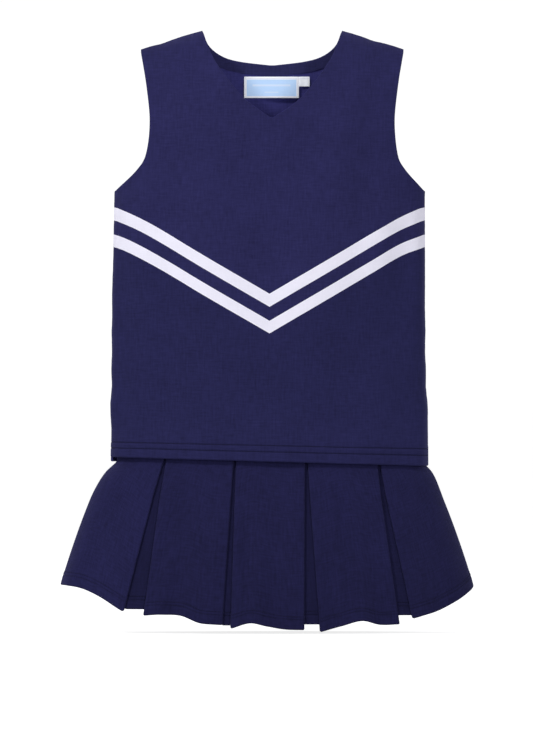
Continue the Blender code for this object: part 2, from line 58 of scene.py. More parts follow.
NECK_FACING = 0.0105
ARM_FACING = 0.010
CHEVRON_Z = (0.338, 0.325, 0.311, 0.2985)
CHEVRON_SLOPE = 0.590
CHEVRON_EASE_X = 0.115
CHEVRON_EASE = 5.9
RADIUS = 0.1
LIMIT = RADIUS * math.pi / 2
CHEST_HALF_WIDTH = 0.1555
CHEST_HALF_DEPTH = 0.044

# ---- cloth
PITCH = 0.0050
TOP_CLOTH = 0.0010
FACING_OUT = 0.0011
FACING_IN = 0.0019
SEAM_SINK = 0.00022
HEM_ROWS = (0.0, 0.0012, 0.0045, 0.0076, 0.0089, 0.0102, 0.0124, 0.0139, 0.0152, 0.0165, 0.0195)
TOP_STITCH_ROWS = (0.0089, 0.0152)
HEM_FOLD_EDGE = (0.0156, 0.0168)
HEM_TILT = 0.0045
TILT_FROM_Z = 0.30
TILT_FALL = 0.13
TILT_HALF_WIDTH = 0.158

# Waves round the top's waist: depth, waves per radian, phase, drift with height.
WAIST_WAVES = ((0.0011, 5.2, 2.1, 9), (0.0007, 11.0, 0.6, -14))

# Simulated slack: coarse pitch, frames, extra cloth, hold below, caps out and in, the blur of reading
# the movement back, and how close points must be to be sewn together.
SLACK_PITCH = 0.0105
SLACK_FRAMES = 26
SLACK_EASE = 0.035
SLACK_HOLD = 0.06
SLACK_OUT = 0.0042
SLACK_IN = 0.0030
SLACK_SOFT = 0.006
WELD_REACH = 2e-4

# The top's hem stands off the skirt: heights between which inward folds are let in again, and its distance.
HEM_ROOM = (0.180, 0.212)
HEM_STAND_OFF = 0.0013

# Stitches: length, gap, width.
TOP_STITCH = (0.0022, 0.0006, 0.00045)
SKIRT_STITCH = (0.0022, 0.0006, 0.00042)
WAIST_STITCH = (0.0022, 0.0007, 0.00042)
LABEL_STITCH = (0.0018, 0.0006, 0.00035)
THREAD_LIFT = 0.0001
LABEL_HALF = 0.0002

# ---- skirt
WAIST_TOP_Z = 0.275
CASING_Z = 0.245
SKIRT_SEAM_Z = 0.176
# Height, half width, half depth.
SKIRT_OUTLINE = (
    (0.0, 0.2165, 0.0740), (0.054, 0.2046, 0.0662), (0.086, 0.1945, 0.0602), (0.124, 0.1806, 0.0530),
    (0.150, 0.1695, 0.0478), (0.161, 0.1628, 0.0446), (0.1668, 0.1569, 0.0424), (0.171, 0.1530, 0.0411),
    (0.176, 0.1525, 0.0410), (0.245, 0.1405, 0.0382), (0.275, 0.1405, 0.0382),
)
# Openings between faces: x at the seam and at the hem, gap at the seam and at the hem.
FRONT_OPENINGS = ((-0.1040, -0.1390, 0.003, 0.0245), (-0.0345, -0.0432, 0.003, 0.0095),
                  (0.0365, 0.0426, 0.003, 0.0170), (0.1080, 0.1398, 0.003, 0.0165))
SIDE_OPENING = (0.003, 0.012)
UNDERLAY_NAMES = ("front_right_outer", "front_right_inner", "front_left_inner", "front_left_outer",
                  "left_side", "back_left_outer", "back_left_inner", "back_right_inner",
                  "back_right_outer", "right_side")
SKIRT_CLOTH = 0.0009
FOLD_RADIUS = 0.0010
FLAP = 0.011
SKIRT_HEM_ROWS = (0.0150, 0.0137, 0.0124, 0.0112, 0.0100, 0.0088, 0.0075, 0.0050, 0.0025, 0.0010, 0.0)
SKIRT_STITCH_ROWS = (0.0124, 0.0094)
UNDERLAY_DEPTH = 0.0037
UNDERLAY_REACH = (0.014, 0.017)
SIDE_UNDERLAY_REACH = (0.016, 0.034)
SKIRT_HEM_EDGE = (0.0125, 0.0140)

# Height at which panels are measured, nominal width of a face, and lengths of cloth drawn per degree
# round the skirt and the waistband.
PANEL_Z = 0.03
PANEL_WIDTH = 0.085
CLOTH_PER_DEGREE = 0.0028
WAIST_CLOTH_PER_DEGREE = 0.0017

# Waistband: gathers round it, their depth, and steps of the sweep.
GATHERS = 84
GATHER_DEPTH = 0.0007
RING_STEPS = 420

# Each face in order round the skirt: hem heights from its first edge to its last, and its billow's
# depth, waves and phase.
FACES = {
    "front_right_centre": ((0.0182, 0.0190, 0.0178, 0.0105, 0.0090), (0.0026, 1.35, 0.15)),
    "front_centre": ((0.0056, 0.0106, 0.0074, 0.0046, 0.0040), (0.0022, 1.1, 0.05)),
    "front_left_centre": ((0.0022, 0.0078, 0.0126, 0.0090, 0.0094), (0.0030, 1.45, 0.55)),
    "front_left_side": ((0.0152, 0.0226, 0.0318, 0.0402, 0.0466), (0.0016, 0.9, 0.5)),
    "back_left_side": ((0.0490, 0.0475, 0.0385, 0.0262, 0.0180), (0.0018, 1.0, 0.3)),
    "back_left_centre": ((0.0124, 0.0122, 0.0158, 0.0112, 0.0056), (0.0024, 1.3, 0.6)),
    "back_centre": ((0.0072, 0.0080, 0.0108, 0.0140, 0.0090), (0.0024, 1.2, 0.1)),
    "back_right_centre": ((0.0122, 0.0140, 0.0212, 0.0222, 0.0214), (0.0026, 1.2, 0.4)),
    "back_right_side": ((0.0252, 0.0390, 0.0472, 0.0492, 0.0500), (0.0018, 0.9, 0.1)),
    "front_right_side": ((0.0480, 0.0472, 0.0448, 0.0365, 0.0225), (0.0016, 0.8, 0.2)),
}
FACE_NAMES = tuple(FACES)

# Soft creases: two (x, z) points of the line, depth, width of its left wall, width of its right wall.
FACE_CREASES = {
    "front_right_centre": (((-0.086, 0.155), (-0.108, 0.070), 0.0027, 0.006, 0.014),),
    "front_centre": (((-0.026, 0.110), (-0.0235, 0.040), 0.0030, 0.004, 0.009),),
    "front_left_centre": (((0.0655, 0.158), (0.0745, 0.085), 0.0040, 0.005, 0.013),
                          ((0.086, 0.095), (0.092, 0.040), 0.0026, 0.006, 0.010)),
    "back_left_centre": (((0.096, 0.150), (0.108, 0.060), 0.0036, 0.010, 0.006),),
    "back_right_centre": (((-0.066, 0.150), (-0.074, 0.065), 0.0040, 0.010, 0.005),),
    "back_centre": (((0.010, 0.120), (0.013, 0.045), 0.0028, 0.009, 0.005),),
}
UNDERLAY_FEET = {"front_right_outer": 0.0246, "front_right_inner": 0.0088, "front_left_inner": 0.0098,
                 "front_left_outer": 0.0186}
UNDERLAY_LIFT = 0.0022

# ---- colours, linear
NAVY = (0.0204, 0.0196, 0.0830)
NAVY_LOWER = (0.0168, 0.0168, 0.0710)
SKIRT_NAVY = (0.0128, 0.0124, 0.0565)
# Facings: the navy lightened about one and a half times, painted light on cloth in the top's shade.
LIT_INSIDE_NAVY = (0.0310, 0.0305, 0.1120)
# Height above the hem over which the skirt's cloth is darkened towards the hem: painted shade.
HEM_SHADE_HEIGHT = 0.16
WHITE = (0.845, 0.830, 0.955)
THREAD = (0.0085, 0.0085, 0.036)
LABEL_WHITE = (0.890, 0.915, 0.990)
LABEL_BLUE = (0.500, 0.700, 1.000)
ELASTIC = (0.780, 0.780, 0.770)
WHITE_THREAD = (0.7, 0.7, 0.75)
SHEEN_TINT = (0.45, 0.45, 1.0, 1.0)

# Label's blue field: half width, half height, height of its middle, and its blank bars as
# height, half thickness, half length, strength.
LABEL_FIELD = (0.0250, 0.0083, 0.5450, ((0.5475, 0.0016, 0.019, 0.45), (0.5405, 0.0011, 0.007, 0.35)))

# ---- studio
# Lamps: name, place, height aimed at, size, watts.
LIGHTS = (("key", (-2.1, -2.1, 2.6), 0.32, 0.50, 63.0), ("fill", (1.5, -4.1, 0.85), 0.32, 1.4, 50.0),
          ("back_left", (-2.2, 2.8, 2.0), 0.3, 1.8, 40.0), ("back_right", (2.6, 2.0, 1.2), 0.3, 1.8, 22.0))
SKY_LIGHT = 0.42
SKY_SEEN = 1.05
CAMERA_PLACE = (-0.003, -12.25, 0.2645)
CAMERA_LENS = 600.0
FLOOR_REACH = 60.0
FLOOR_Z = -0.0004


# ==== small maths
def profile(knots, column=1):
    """A smooth monotone reading of one column of knots against their height."""
    z = np.array([k[0] for k in knots])
    v = np.array([k[column] for k in knots])
    step = np.diff(z)
    slope = np.diff(v) / step
    tangent = np.zeros(len(z))
    product = slope[:-1] * slope[1:]
    total = slope[:-1] + slope[1:]
    tangent[1:-1] = np.where(product > 0, 2 * product / np.where(total == 0, 1, total), 0)
    tangent[0], tangent[-1] = slope[0], slope[-1]

    def read(at):
        at = np.clip(at, z[0], z[-1])
        i = np.clip(np.searchsorted(z, at) - 1, 0, len(z) - 2)
        h = step[i]
        t = (at - z[i]) / h
        return ((1 + 2 * t) * (1 - t) ** 2 * v[i] + t * (1 - t) ** 2 * h * tangent[i]
                + t * t * (3 - 2 * t) * v[i + 1] + t * t * (t - 1) * h * tangent[i + 1])

    return read


def curve_through(points, steps=16):
    """Catmull-Rom curve through 2-D points, as an array."""
    pts = np.array(points, float)
    pts = np.vstack([2 * pts[0] - pts[1], pts, 2 * pts[-1] - pts[-2]])
    out = []
    for a, b, c, d in zip(pts, pts[1:], pts[2:], pts[3:]):
        t = np.arange(steps)[:, None] / steps
        out.append(0.5 * (2 * b + (c - a) * t + (2 * a - 5 * b + 4 * c - d) * t**2
                          + (3 * b - a - 3 * c + d) * t**3))
    return np.vstack(out + [pts[-2]])


def even(points, pitch):
    """The polyline resampled at an even pitch, ends kept."""
    points = np.array(points, float)
    length = np.concatenate([[0], np.cumsum(np.linalg.norm(np.diff(points, axis=0), axis=1))])
    count = max(1, round(length[-1] / pitch))
    at = np.linspace(0, length[-1], count + 1)
    return np.stack([np.interp(at, length, points[:, k]) for k in range(points.shape[1])], axis=1)


def tree_of(points):
    """Nearest-point tree of 2-D or 3-D points."""
    tree = KDTree(len(points))
    for k, p in enumerate(points):
        tree.insert((*p, 0.0)[:3], k)
    tree.balance()
    return tree


def unit(v):
    return v / np.maximum(np.linalg.norm(v, axis=-1, keepdims=True), 1e-12)


def bump_at(x, centre, half):
    """1 at the centre, falling smoothly to 0 at half away."""
    t = np.clip(1 - np.abs(x - centre) / half, 0, 1)
    return t * t * (3 - 2 * t)


def rise(x, low, high):
    """0 below low, climbing smoothly to 1 at high."""
    t = np.clip((x - low) / (high - low), 0, 1)
    return t * t * (3 - 2 * t)


top_width, top_depth = profile(TOP_WIDTH), profile(TOP_DEPTH)
skirt_width, skirt_depth = profile(SKIRT_OUTLINE), profile(SKIRT_OUTLINE, 2)


# ==== torso surface
def shoulder_z(x):
    slope = (NECK_POINT[1] - SHOULDER_TIP[1]) / (SHOULDER_TIP[0] - NECK_POINT[0])
    return NECK_POINT[1] - slope * (np.abs(x) - NECK_POINT[0])


def depth_squared(x, z):
    across = np.clip(1 - (x / top_width(z)) ** 2, 0, None)
    drop = np.clip((shoulder_z(x) - z) / SHOULDER_ROUND, 0, 1)
    return top_depth(z) ** 2 * across * (2 * drop - drop * drop)


def torso_frame(s, z, side):
    """Points and outward normals of the torso at (s, z); side is -1 front, +1 back."""
    s = np.clip(s, -LIMIT, LIMIT)
    x = top_width(z) * np.sin(s / RADIUS)
    z = np.minimum(z, shoulder_z(x))
    depth = np.sqrt(depth_squared(x, z))
    eps = 1e-5
    inner = x - np.sign(x) * eps
    slope_x = (depth_squared(inner, z - eps) - depth_squared(inner - eps, z - eps)) / eps
    slope_x = np.where(np.abs(x) < 3 * eps, 0, slope_x)
    slope_z = (depth_squared(x, z - eps) - depth_squared(x, z - 2 * eps)) / eps
    normal = unit(np.stack([-slope_x, 2 * depth * side, -slope_z], axis=-1))
    return np.stack([x, side * depth, z], axis=-1), normal


def to_flat(points):
    """Pattern coordinates of points given by x and z."""
    points = np.array(points, float)
    share = np.round(points[:, 0] / top_width(points[:, 1]), 5)
    return np.stack([RADIUS * np.arcsin(np.clip(share, -1, 1)), points[:, 1]], axis=1)


def lean(place):
    """The small sideways lie of the top: shoulders towards +X, the right side seam slack at the waist."""
    x, z = place[:, 0], place[:, 2]
    shift = 0.0027 * rise(z, 0.425, 0.500) - 0.0018 * bump_at(z, 0.305, 0.125) * np.clip(-x / 0.12, 0, 1)
    return np.stack([shift, 0 * x, 0 * x], axis=1)


def hem_tilt(place, z, side):
    """Lift of the front's lower part, whose hem lies higher towards -X."""
    if side > 0:
        return 0.0
    low = np.clip((TILT_FROM_Z - z) / TILT_FALL, 0, 1)
    return HEM_TILT * low**2 * (-place[:, 0] / TILT_HALF_WIDTH)


def soft_folds(s, z, side):
    """How far the cloth stands off the smooth torso: slack at the waist, drags from the armholes."""
    turn = s / RADIUS
    low = rise(-z, -0.42, -0.20)
    phase = 0.0 if side < 0 else 1.9
    out = np.zeros(len(s))
    for depth, waves, start, drift in WAIST_WAVES:
        out += depth * low * np.sin(waves * turn + start + phase + drift * (z - 0.17))
    for sign in (-1, 1):
        drag = (z - 0.455) + 0.55 * (np.abs(s) - 0.12)
        near = bump_at(s * sign, 0.105, 0.075)
        out += 0.0011 * near * np.sin(drag * 95 + sign + phase) * bump_at(z, 0.43, 0.11)
    out += 0.0009 * bump_at(s, 0.0, 0.07) * np.sin((z - 0.40) * 60 + phase) * bump_at(z, 0.43, 0.12)
    keep = np.clip((LIMIT - np.abs(s)) / 0.03, 0, 1)
    out = np.maximum(out, 0) + np.minimum(out, 0) * rise(z, *HEM_ROOM)
    out += HEM_STAND_OFF * (1 - rise(z, *HEM_ROOM))
    return out * keep * rise(shoulder_z(top_width(z) * np.sin(turn)) - z, 0.0, 0.05)


# ==== simulated slack
class Slack:
    """Movement of the cloth, found by simulating a coarse shell of the top, at any pattern point."""

    def __init__(self):
        self.tree = {}
        self.moves = {}

    def learn(self, side, flat, moves):
        self.tree[side], self.moves[side] = tree_of(flat), moves

    def read(self, s, z, side):
        """Own side's movement, becoming the mean of both sides' where they are sewn together."""
        if side not in self.tree:
            return np.zeros((len(s), 3))
        x = top_width(z) * np.sin(s / RADIUS)
        to_seam = np.minimum(LIMIT - np.abs(s), np.maximum(0.0, shoulder_z(x) - z))
        share = (0.5 * (1 - rise(to_seam, 0.0, 0.025)))[:, None]
        return self.near(s, z, side) * (1 - share) + self.near(s, z, -side) * share

    def near(self, s, z, side):
        out = np.zeros((len(s), 3))
        tree, moves = self.tree[side], self.moves[side]
        for i in range(len(s)):
            near = tree.find_n((s[i], z[i], 0.0), 8)
            weight = np.array([1.0 / (d * d + SLACK_SOFT**2) for _, _, d in near])
            out[i] = (moves[[k for _, k, _ in near]] * weight[:, None]).sum(0) / weight.sum()
        return out


slack = Slack()


def hold(flat, side):
    """How firmly the proxy is held to its pattern: fully at the shoulders and openings, lightly below."""
    arm, _ = armhole_curves()
    neck = neck_curves(FRONT_NECK if side < 0 else BACK_NECK, 0.01)[0]
    edges = to_flat(np.vstack([arm, arm * np.array([-1, 1]), neck]))
    away = np.sqrt(((flat[:, None, :] - edges[None]) ** 2).sum(axis=2)).min(axis=1)
    near_edge = 1 - rise(away, 0.006, 0.060)
    at_side = 0.45 * (1 - rise(LIMIT - np.abs(flat[:, 0]), 0.0, 0.020))
    return np.clip(np.maximum.reduce([near_edge, at_side, np.full(len(flat), SLACK_HOLD)]), 0, 1)


def proxy_shell():
    """Coarse front and back of the top: points, triangles, flat patterns and how firmly held."""
    verts, faces, flats, holds = [], [], [], []
    for side, neck in ((-1, FRONT_NECK), (1, BACK_NECK)):
        points, triangles = torso_sheet(neck_curves(neck, 0.01)[0], [], SLACK_PITCH)
        place, _ = torso_frame(points[:, 0], points[:, 1], side)
        base = len(verts)
        verts += [tuple(p) for p in place]
        faces += [tuple(int(base + k) for k in (t if side < 0 else t[::-1])) for t in triangles]
        flats.append(points)
        holds.append(hold(points, side))
    return verts, faces, flats, np.concatenate(holds)


def add_cloth(obj):
    """Cloth settings for a light jersey with a little extra width, held where its vertex group says."""
    modifier = obj.modifiers.new("cloth", "CLOTH")
    settings = modifier.settings
    settings.quality = 6
    settings.mass = 0.18
    settings.tension_stiffness = 12
    settings.compression_stiffness = 12
    settings.shear_stiffness = 4
    settings.bending_stiffness = 0.4
    settings.air_damping = 2
    settings.shrink_min = settings.shrink_max = -SLACK_EASE
    settings.vertex_group_mass = "hold"
    settings.pin_stiffness = 0.6
    settings.use_sewing_springs = True
    settings.sewing_force_max = 5
    return modifier


def simulate_top():
    """Let a coarse shell of the top hang with a little extra cloth, and keep the capped movement."""
    verts, faces, flats, holds = proxy_shell()
    mesh = bpy.data.meshes.new("proxy")
    mesh.from_pydata(verts, [], faces)
    weld = weld_map(verts)
    obj = bpy.data.objects.new("proxy", mesh)
    scene = bpy.context.scene
    scene.collection.objects.link(obj)
    group = obj.vertex_groups.new(name="hold")
    for k, w in enumerate(holds):
        group.add([k], float(w), "REPLACE")
    modifier = add_cloth(obj)
    start = np.array(verts)
    sew(obj, weld)
    modifier.collision_settings.use_collision = False
    modifier.point_cache.frame_start = 1
    modifier.point_cache.frame_end = SLACK_FRAMES
    for frame_number in range(1, SLACK_FRAMES + 1):
        scene.frame_set(frame_number)
    shown = obj.evaluated_get(bpy.context.evaluated_depsgraph_get()).to_mesh()
    end = np.zeros(len(shown.vertices) * 3)
    shown.vertices.foreach_get("co", end)
    end = end.reshape(-1, 3)
    scene.frame_set(1)
    bpy.data.objects.remove(obj, do_unlink=True)
    moves = end - start
    for a, b in weld:
        moves[a] = moves[b] = (moves[a] + moves[b]) / 2
    split = len(flats[0])
    for side, flat, part in ((-1, flats[0], slice(0, split)), (1, flats[1], slice(split, None))):
        slack.learn(side, flat, capped(flat, moves[part], side))


def weld_map(verts):
    """Pairs of proxy points, front and back, that share a place on the side and shoulder seams."""
    tree = tree_of(verts)
    return sorted({(k, other) for k, v in enumerate(verts)
                   for _, other, _ in tree.find_range(v, WELD_REACH) if other > k})


def sew(obj, pairs):
    """Join each pair with a sewing edge."""
    mesh = obj.data
    first = len(mesh.edges)
    mesh.edges.add(len(pairs))
    for k, pair in enumerate(pairs):
        mesh.edges[first + k].vertices = pair
    mesh.update()


def capped(flat, moves, side):
    """The simulated movement, its swing kept within what the skirt below allows."""
    _, normal = torso_frame(flat[:, 0], flat[:, 1], side)
    out = (moves * normal).sum(axis=1)
    level = np.median(out[flat[:, 1] < 0.40])
    out = out - level
    most = SLACK_OUT * np.tanh(np.clip(out, 0, None) / SLACK_OUT)
    room = 1e-5 + SLACK_IN * (0.35 * rise(flat[:, 1], *HEM_ROOM) + 0.65 * rise(flat[:, 1], 0.24, 0.31))
    least = -room * np.tanh(np.clip(-out, 0, None) / room)
    free = 1 - (1 - rise(np.abs(np.abs(flat[:, 0]) - LIMIT), 0.0, 0.018)) * 0.75
    return normal * (np.where(out > 0, most, least) * free)[:, None]


# ==== pattern outlines
def chevron_z(centre, x):
    """Height of a chevron seam at x, easing off towards the sides."""
    past = np.maximum(0.0, np.abs(x) - CHEVRON_EASE_X)
    return centre + CHEVRON_SLOPE * np.abs(x) - CHEVRON_EASE * past**2 / 2


def mirrored(points):
    """A line ending at the centre, carried on over the other half."""
    flipped = points[:-1][::-1] * np.array([-1, 1])
    return np.vstack([points, flipped])


def beside(points, distance, first, last):
    """The line moved sideways by a distance, between given ends."""
    along = unit(points[2:] - points[:-2])
    moved = points[1:-1] + np.stack([-along[:, 1], along[:, 0]], axis=1) * distance
    return np.vstack([first, moved, last])


def neck_curves(neck, drop):
    """Edge of a neckline and the inner edge of its facing."""
    edge = curve_through(neck)
    x = NECK_POINT[0] + NECK_FACING
    inner = beside(edge, NECK_FACING, (x, shoulder_z(x)), (0.0, edge[-1, 1] - drop))
    return mirrored(edge), mirrored(inner)


def armhole_curves():
    """Edge of an armhole and the inner edge of its facing."""
    edge = curve_through(ARMHOLE)
    x = SHOULDER_TIP[0] - ARM_FACING
    inner = beside(edge, -ARM_FACING, (x, shoulder_z(x)), (UNDERARM[0], UNDERARM[1] - ARM_FACING))
    return edge, inner


def inside(points, loop):
    """Even-odd test of many points against a closed outline."""
    start, end = loop, np.roll(loop, -1, axis=0)
    x, z = points[:, :1], points[:, 1:2]
    crosses = (start[:, 1] > z) != (end[:, 1] > z)
    climb = np.where(end[:, 1] == start[:, 1], 1, end[:, 1] - start[:, 1])
    at = start[:, 0] + (end[:, 0] - start[:, 0]) * (z - start[:, 1]) / climb
    return (crosses & (x < at)).sum(axis=1) % 2 == 1


def torso_sheet(neck_edge, seams, pitch=PITCH):
    """Triangulated pattern of one side of the top: points and triangles."""
    flip = np.array([-1, 1])
    right = even([(LIMIT, UNDERARM[1]), (LIMIT, TOP_HEM_Z)], pitch)[1:-1]
    hem = even([(LIMIT, TOP_HEM_Z), (-LIMIT, TOP_HEM_Z)], pitch)
    shoulder = to_flat(even([NECK_POINT, SHOULDER_TIP], pitch)[1:-1])
    neck = even(to_flat(neck_edge), pitch * 0.7)
    arm = even(to_flat(armhole_curves()[0]), pitch * 0.7)
    outline = np.vstack([arm, right, hem, right[::-1] * flip, arm[::-1] * flip, shoulder[::-1] * flip,
                         neck[::-1], shoulder])
    lines = [np.vstack([outline, outline[:1]])] + [even(line, pitch) for line in seams]
    verts, edges = [], []
    for line in lines:
        start = len(verts)
        verts += [Vector(p) for p in line]
        edges += [(start + k, start + k + 1) for k in range(len(line) - 1)]
    tree = tree_of(verts)
    rows = np.arange(TOP_HEM_Z, NECK_POINT[1], pitch * 0.87)
    cols = np.arange(-LIMIT, LIMIT, pitch)
    grid = np.array([(c + pitch / 2 * (r % 2), z) for r, z in enumerate(rows) for c in cols])
    grid = grid[inside(grid, outline)]
    verts += [Vector(p) for p in grid if tree.find((p[0], p[1], 0))[2] > pitch * 0.6]
    points, _, faces, _, _, _ = delaunay_2d_cdt(verts, edges, [], 0, 1e-6)
    points = np.array([tuple(p) for p in points])
    faces = np.array([tuple(f) for f in faces])
    corner = points[faces]
    area = np.cross(corner[:, 1] - corner[:, 0], corner[:, 2] - corner[:, 0])
    faces = faces[inside(corner.mean(axis=1), outline) & (np.abs(area) > 1e-9)]
    return points, faces


# ==== mesh building
def mesh_object(name, verts, faces, material, coordinate=None, sharp=None):
    """A smooth-shaded object, with the cloth coordinate its material reads."""
    mesh = bpy.data.meshes.new(name)
    mesh.from_pydata([tuple(v) for v in verts], [], [tuple(int(k) for k in f) for f in faces])
    mesh.update()
    mesh.polygons.foreach_set("use_smooth", [True] * len(mesh.polygons))
    if coordinate is not None:
        attribute = mesh.attributes.new("cloth", "FLOAT_VECTOR", "POINT")
        attribute.data.foreach_set("vector", np.asarray(coordinate, np.float32).ravel())
    if sharp:
        mesh.set_sharp_from_angle(angle=math.radians(sharp))
    mesh.materials.append(material)
    obj = bpy.data.objects.new(name, mesh)
    bpy.context.scene.collection.objects.link(obj)
    return obj


def shell(outer, inner, faces, bulge):
    """Solid between two skins, its wall rounded outwards by each vertex's bulge."""
    count = len(outer)
    faces = [tuple(int(k) for k in f) for f in faces]
    directed = {(f[i], f[(i + 1) % len(f)]) for f in faces for i in range(len(f))}
    border = [(a, b) for a, b in directed if (b, a) not in directed]
    around = {}
    for a, b in border:
        along = outer[b] - outer[a]
        across = outer[a] - inner[a]
        out = unit(np.cross(along, across))
        for k in (a, b):
            around[k] = around.get(k, 0) + out
    middle = {k: 2 * count + n for n, k in enumerate(around)}
    ring = [(outer[k] + inner[k]) / 2 + unit(v) * bulge[k] for k, v in around.items()]
    verts = np.vstack([outer, inner] + ([np.array(ring)] if ring else []))
    solid = faces + [tuple(count + k for k in reversed(f)) for f in faces]
    for a, b in border:
        solid.append((b, a, middle[a], middle[b]))
        solid.append((middle[b], middle[a], count + a, count + b))
    source = np.concatenate([np.arange(count), np.arange(count), np.array(list(around), int)])
    return verts, solid, source


def seam_points(mine, triangles):
    """Points on the edges where a piece's triangles meet those of another piece."""
    def edges(group):
        return {(int(t[a]), int(t[b])) for t in group for a, b in ((0, 1), (1, 2), (2, 0))}

    own, everyone = edges(mine), edges(triangles)
    return {k for a, b in own if (b, a) not in own and (b, a) in everyone for k in (a, b)}


def cloth_depths(above, depths, sewn):
    """Depth of a piece's two faces: fuller in the turned hem, drawn in at stitches and seams."""
    shallow, deep = depths
    outer, inner = np.full(len(above), shallow), np.full(len(above), deep)
    if shallow > 0.0:
        return outer, inner
    in_hem = 1 - rise(above, *HEM_FOLD_EDGE)
    inner = inner + in_hem * 0.0008
    outer = outer - in_hem * 0.00025
    for row in TOP_STITCH_ROWS:
        outer = outer + 0.00055 * bump_at(above, row, 0.0013)
    return outer + SEAM_SINK * sewn, inner


def dress(obj, body, node):
    """Hang a finished piece on its body, in place of its CAD node."""
    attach(obj, body)
    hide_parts(node)


def torso_piece(node, sheet, pick, side, depths, material):
    """One cut piece of the top, replacing its CAD node."""
    points, triangles = sheet
    centres = points[triangles].mean(axis=1)
    mine = triangles[pick(centres)]
    used = np.unique(mine)
    order = {k: n for n, k in enumerate(used)}
    flat = points[used]
    seam = np.zeros(len(used))
    for k in seam_points(mine, triangles):
        seam[order[k]] = 1
    at_side = np.abs(np.abs(flat[:, 0]) - LIMIT) < 1e-6
    place, normal = torso_frame(flat[:, 0], flat[:, 1], side)
    at_shoulder = np.abs(place[:, 1]) < 1e-4
    sewn = np.maximum(seam, (at_side | at_shoulder).astype(float))
    place = place + normal * soft_folds(flat[:, 0], flat[:, 1], side)[:, None]
    place = place + slack.read(flat[:, 0], flat[:, 1], side) + lean(place)
    place[:, 2] += hem_tilt(place, flat[:, 1], side)
    outer_depth, inner_depth = cloth_depths(flat[:, 1] - TOP_HEM_Z, depths, sewn)
    outer = place - normal * outer_depth[:, None]
    inner = place - normal * inner_depth[:, None]
    faces = [tuple(order[k] for k in f) for f in mine]
    if side > 0:
        faces = [tuple(reversed(f)) for f in faces]
    thick = (inner_depth - outer_depth) / 2
    bulge = np.where(sewn > 0, 0.00005, thick * 0.9)
    verts, solid, source = shell(outer, inner, faces, bulge)
    arc = np.interp(flat[:, 0], ARC_S, ARC_L)
    rim = np.full(len(verts) - 2 * len(used), 0.5)
    layer = np.concatenate([np.zeros(len(used)), np.ones(len(used)), rim])
    coordinate = np.stack([arc[source], flat[source, 1], layer], axis=1)
    obj = mesh_object("soft_" + node.removeprefix("top_"), verts, solid, material, coordinate, 35)
    dress(obj, "top", node)


# Distance round the chest at each s, 0 at the centre.
ARC_STEPS = 181
ARC_S = np.linspace(-LIMIT, LIMIT, ARC_STEPS)
_turn = ARC_S / RADIUS
_speed = np.sqrt((CHEST_HALF_WIDTH * np.cos(_turn)) ** 2 + (CHEST_HALF_DEPTH * np.sin(_turn)) ** 2)
ARC_L = np.concatenate([[0], np.cumsum((_speed[1:] + _speed[:-1]) / 2 * np.diff(_turn))])
ARC_L -= ARC_L[ARC_STEPS // 2]


# ==== materials
class Nodes:
    """Short hands for building a node tree."""

    def __init__(self, name):
        self.material = bpy.data.materials.new(name)
        self.material.use_nodes = True
        self.tree = self.material.node_tree
        self.shader = self.tree.nodes["Principled BSDF"]

    def new(self, kind, **inputs):
        node = self.tree.nodes.new(kind)
        for key, value in inputs.items():
            self.put(node.inputs[key], value)
        return node

    def put(self, socket, value):
        if isinstance(value, bpy.types.NodeSocket):
            self.tree.links.new(value, socket)
        elif socket.type == "VECTOR":
            socket.default_value = value[:3]
        else:
            socket.default_value = value

    def maths(self, operation, a, b=0.0, c=0.0):
        node = self.tree.nodes.new("ShaderNodeMath")
        node.operation = operation
        for socket, value in zip(node.inputs, (a, b, c)):
            self.put(socket, value)
        return node.outputs[0]

    def times(self, a, b):
        return self.maths("MULTIPLY", a, b)

    def times_plus(self, a, b, c):
        return self.maths("MULTIPLY_ADD", a, b, c)

    def fall(self, value, reach):
        """1 where value is 0, falling to 0 at reach."""
        return self.maths("SUBTRACT", 1.0, self.maths("MINIMUM", self.maths("DIVIDE", value, reach), 1.0))

    def near(self, value, centre, half):
        """1 where value is at the centre, 0 from half away."""
        return self.fall(self.maths("ABSOLUTE", self.maths("SUBTRACT", value, centre)), half)

    def waves(self, value, length):
        return self.maths("SINE", self.times(value, 2 * math.pi / length))

    def mix(self, share, a, b):
        node = self.tree.nodes.new("ShaderNodeMix")
        node.data_type = "RGBA"
        self.put(node.inputs[0], share)
        self.put(node.inputs[6], a)
        self.put(node.inputs[7], b)
        return node.outputs[2]

    def noise(self, vector, scale, detail=2.0, roughness=0.5):
        node = self.new("ShaderNodeTexNoise", Vector=vector, Scale=scale, Detail=detail, Roughness=roughness)
        return node.outputs["Fac"]

    def stretched(self, vector, x, y, z=1.0):
        node = self.tree.nodes.new("ShaderNodeVectorMath")
        node.operation = "MULTIPLY"
        self.put(node.inputs[0], vector)
        node.inputs[1].default_value = (x, y, z)
        return node.outputs[0]

    def scaled(self, colour, value):
        node = self.tree.nodes.new("ShaderNodeVectorMath")
        node.operation = "SCALE"
        self.put(node.inputs[0], colour)
        self.put(node.inputs["Scale"], value)
        return node.outputs[0]

    def cloth(self):
        """The cloth coordinate: the whole vector, then across, up, and outer face 0 to inner face 1."""
        node = self.tree.nodes.new("ShaderNodeAttribute")
        node.attribute_name = "cloth"
        vector = node.outputs["Vector"]
        return vector, *self.new("ShaderNodeSeparateXYZ", Vector=vector).outputs

    def surface(self, settings, height=None, strength=0.0, distance=0.0):
        """Set the shader's inputs, with a bump from a height where there is one."""
        for name, value in settings.items():
            self.put(self.shader.inputs[name], value)
        if height is not None:
            bump = self.new("ShaderNodeBump", Height=height, Strength=strength, Distance=distance)
            self.put(self.shader.inputs["Normal"], bump.outputs[0])
        return self.material


def rgba(colour):
    return tuple(colour) + (1.0,)


def tinted(colour, share):
    return tuple(c * share for c in colour)


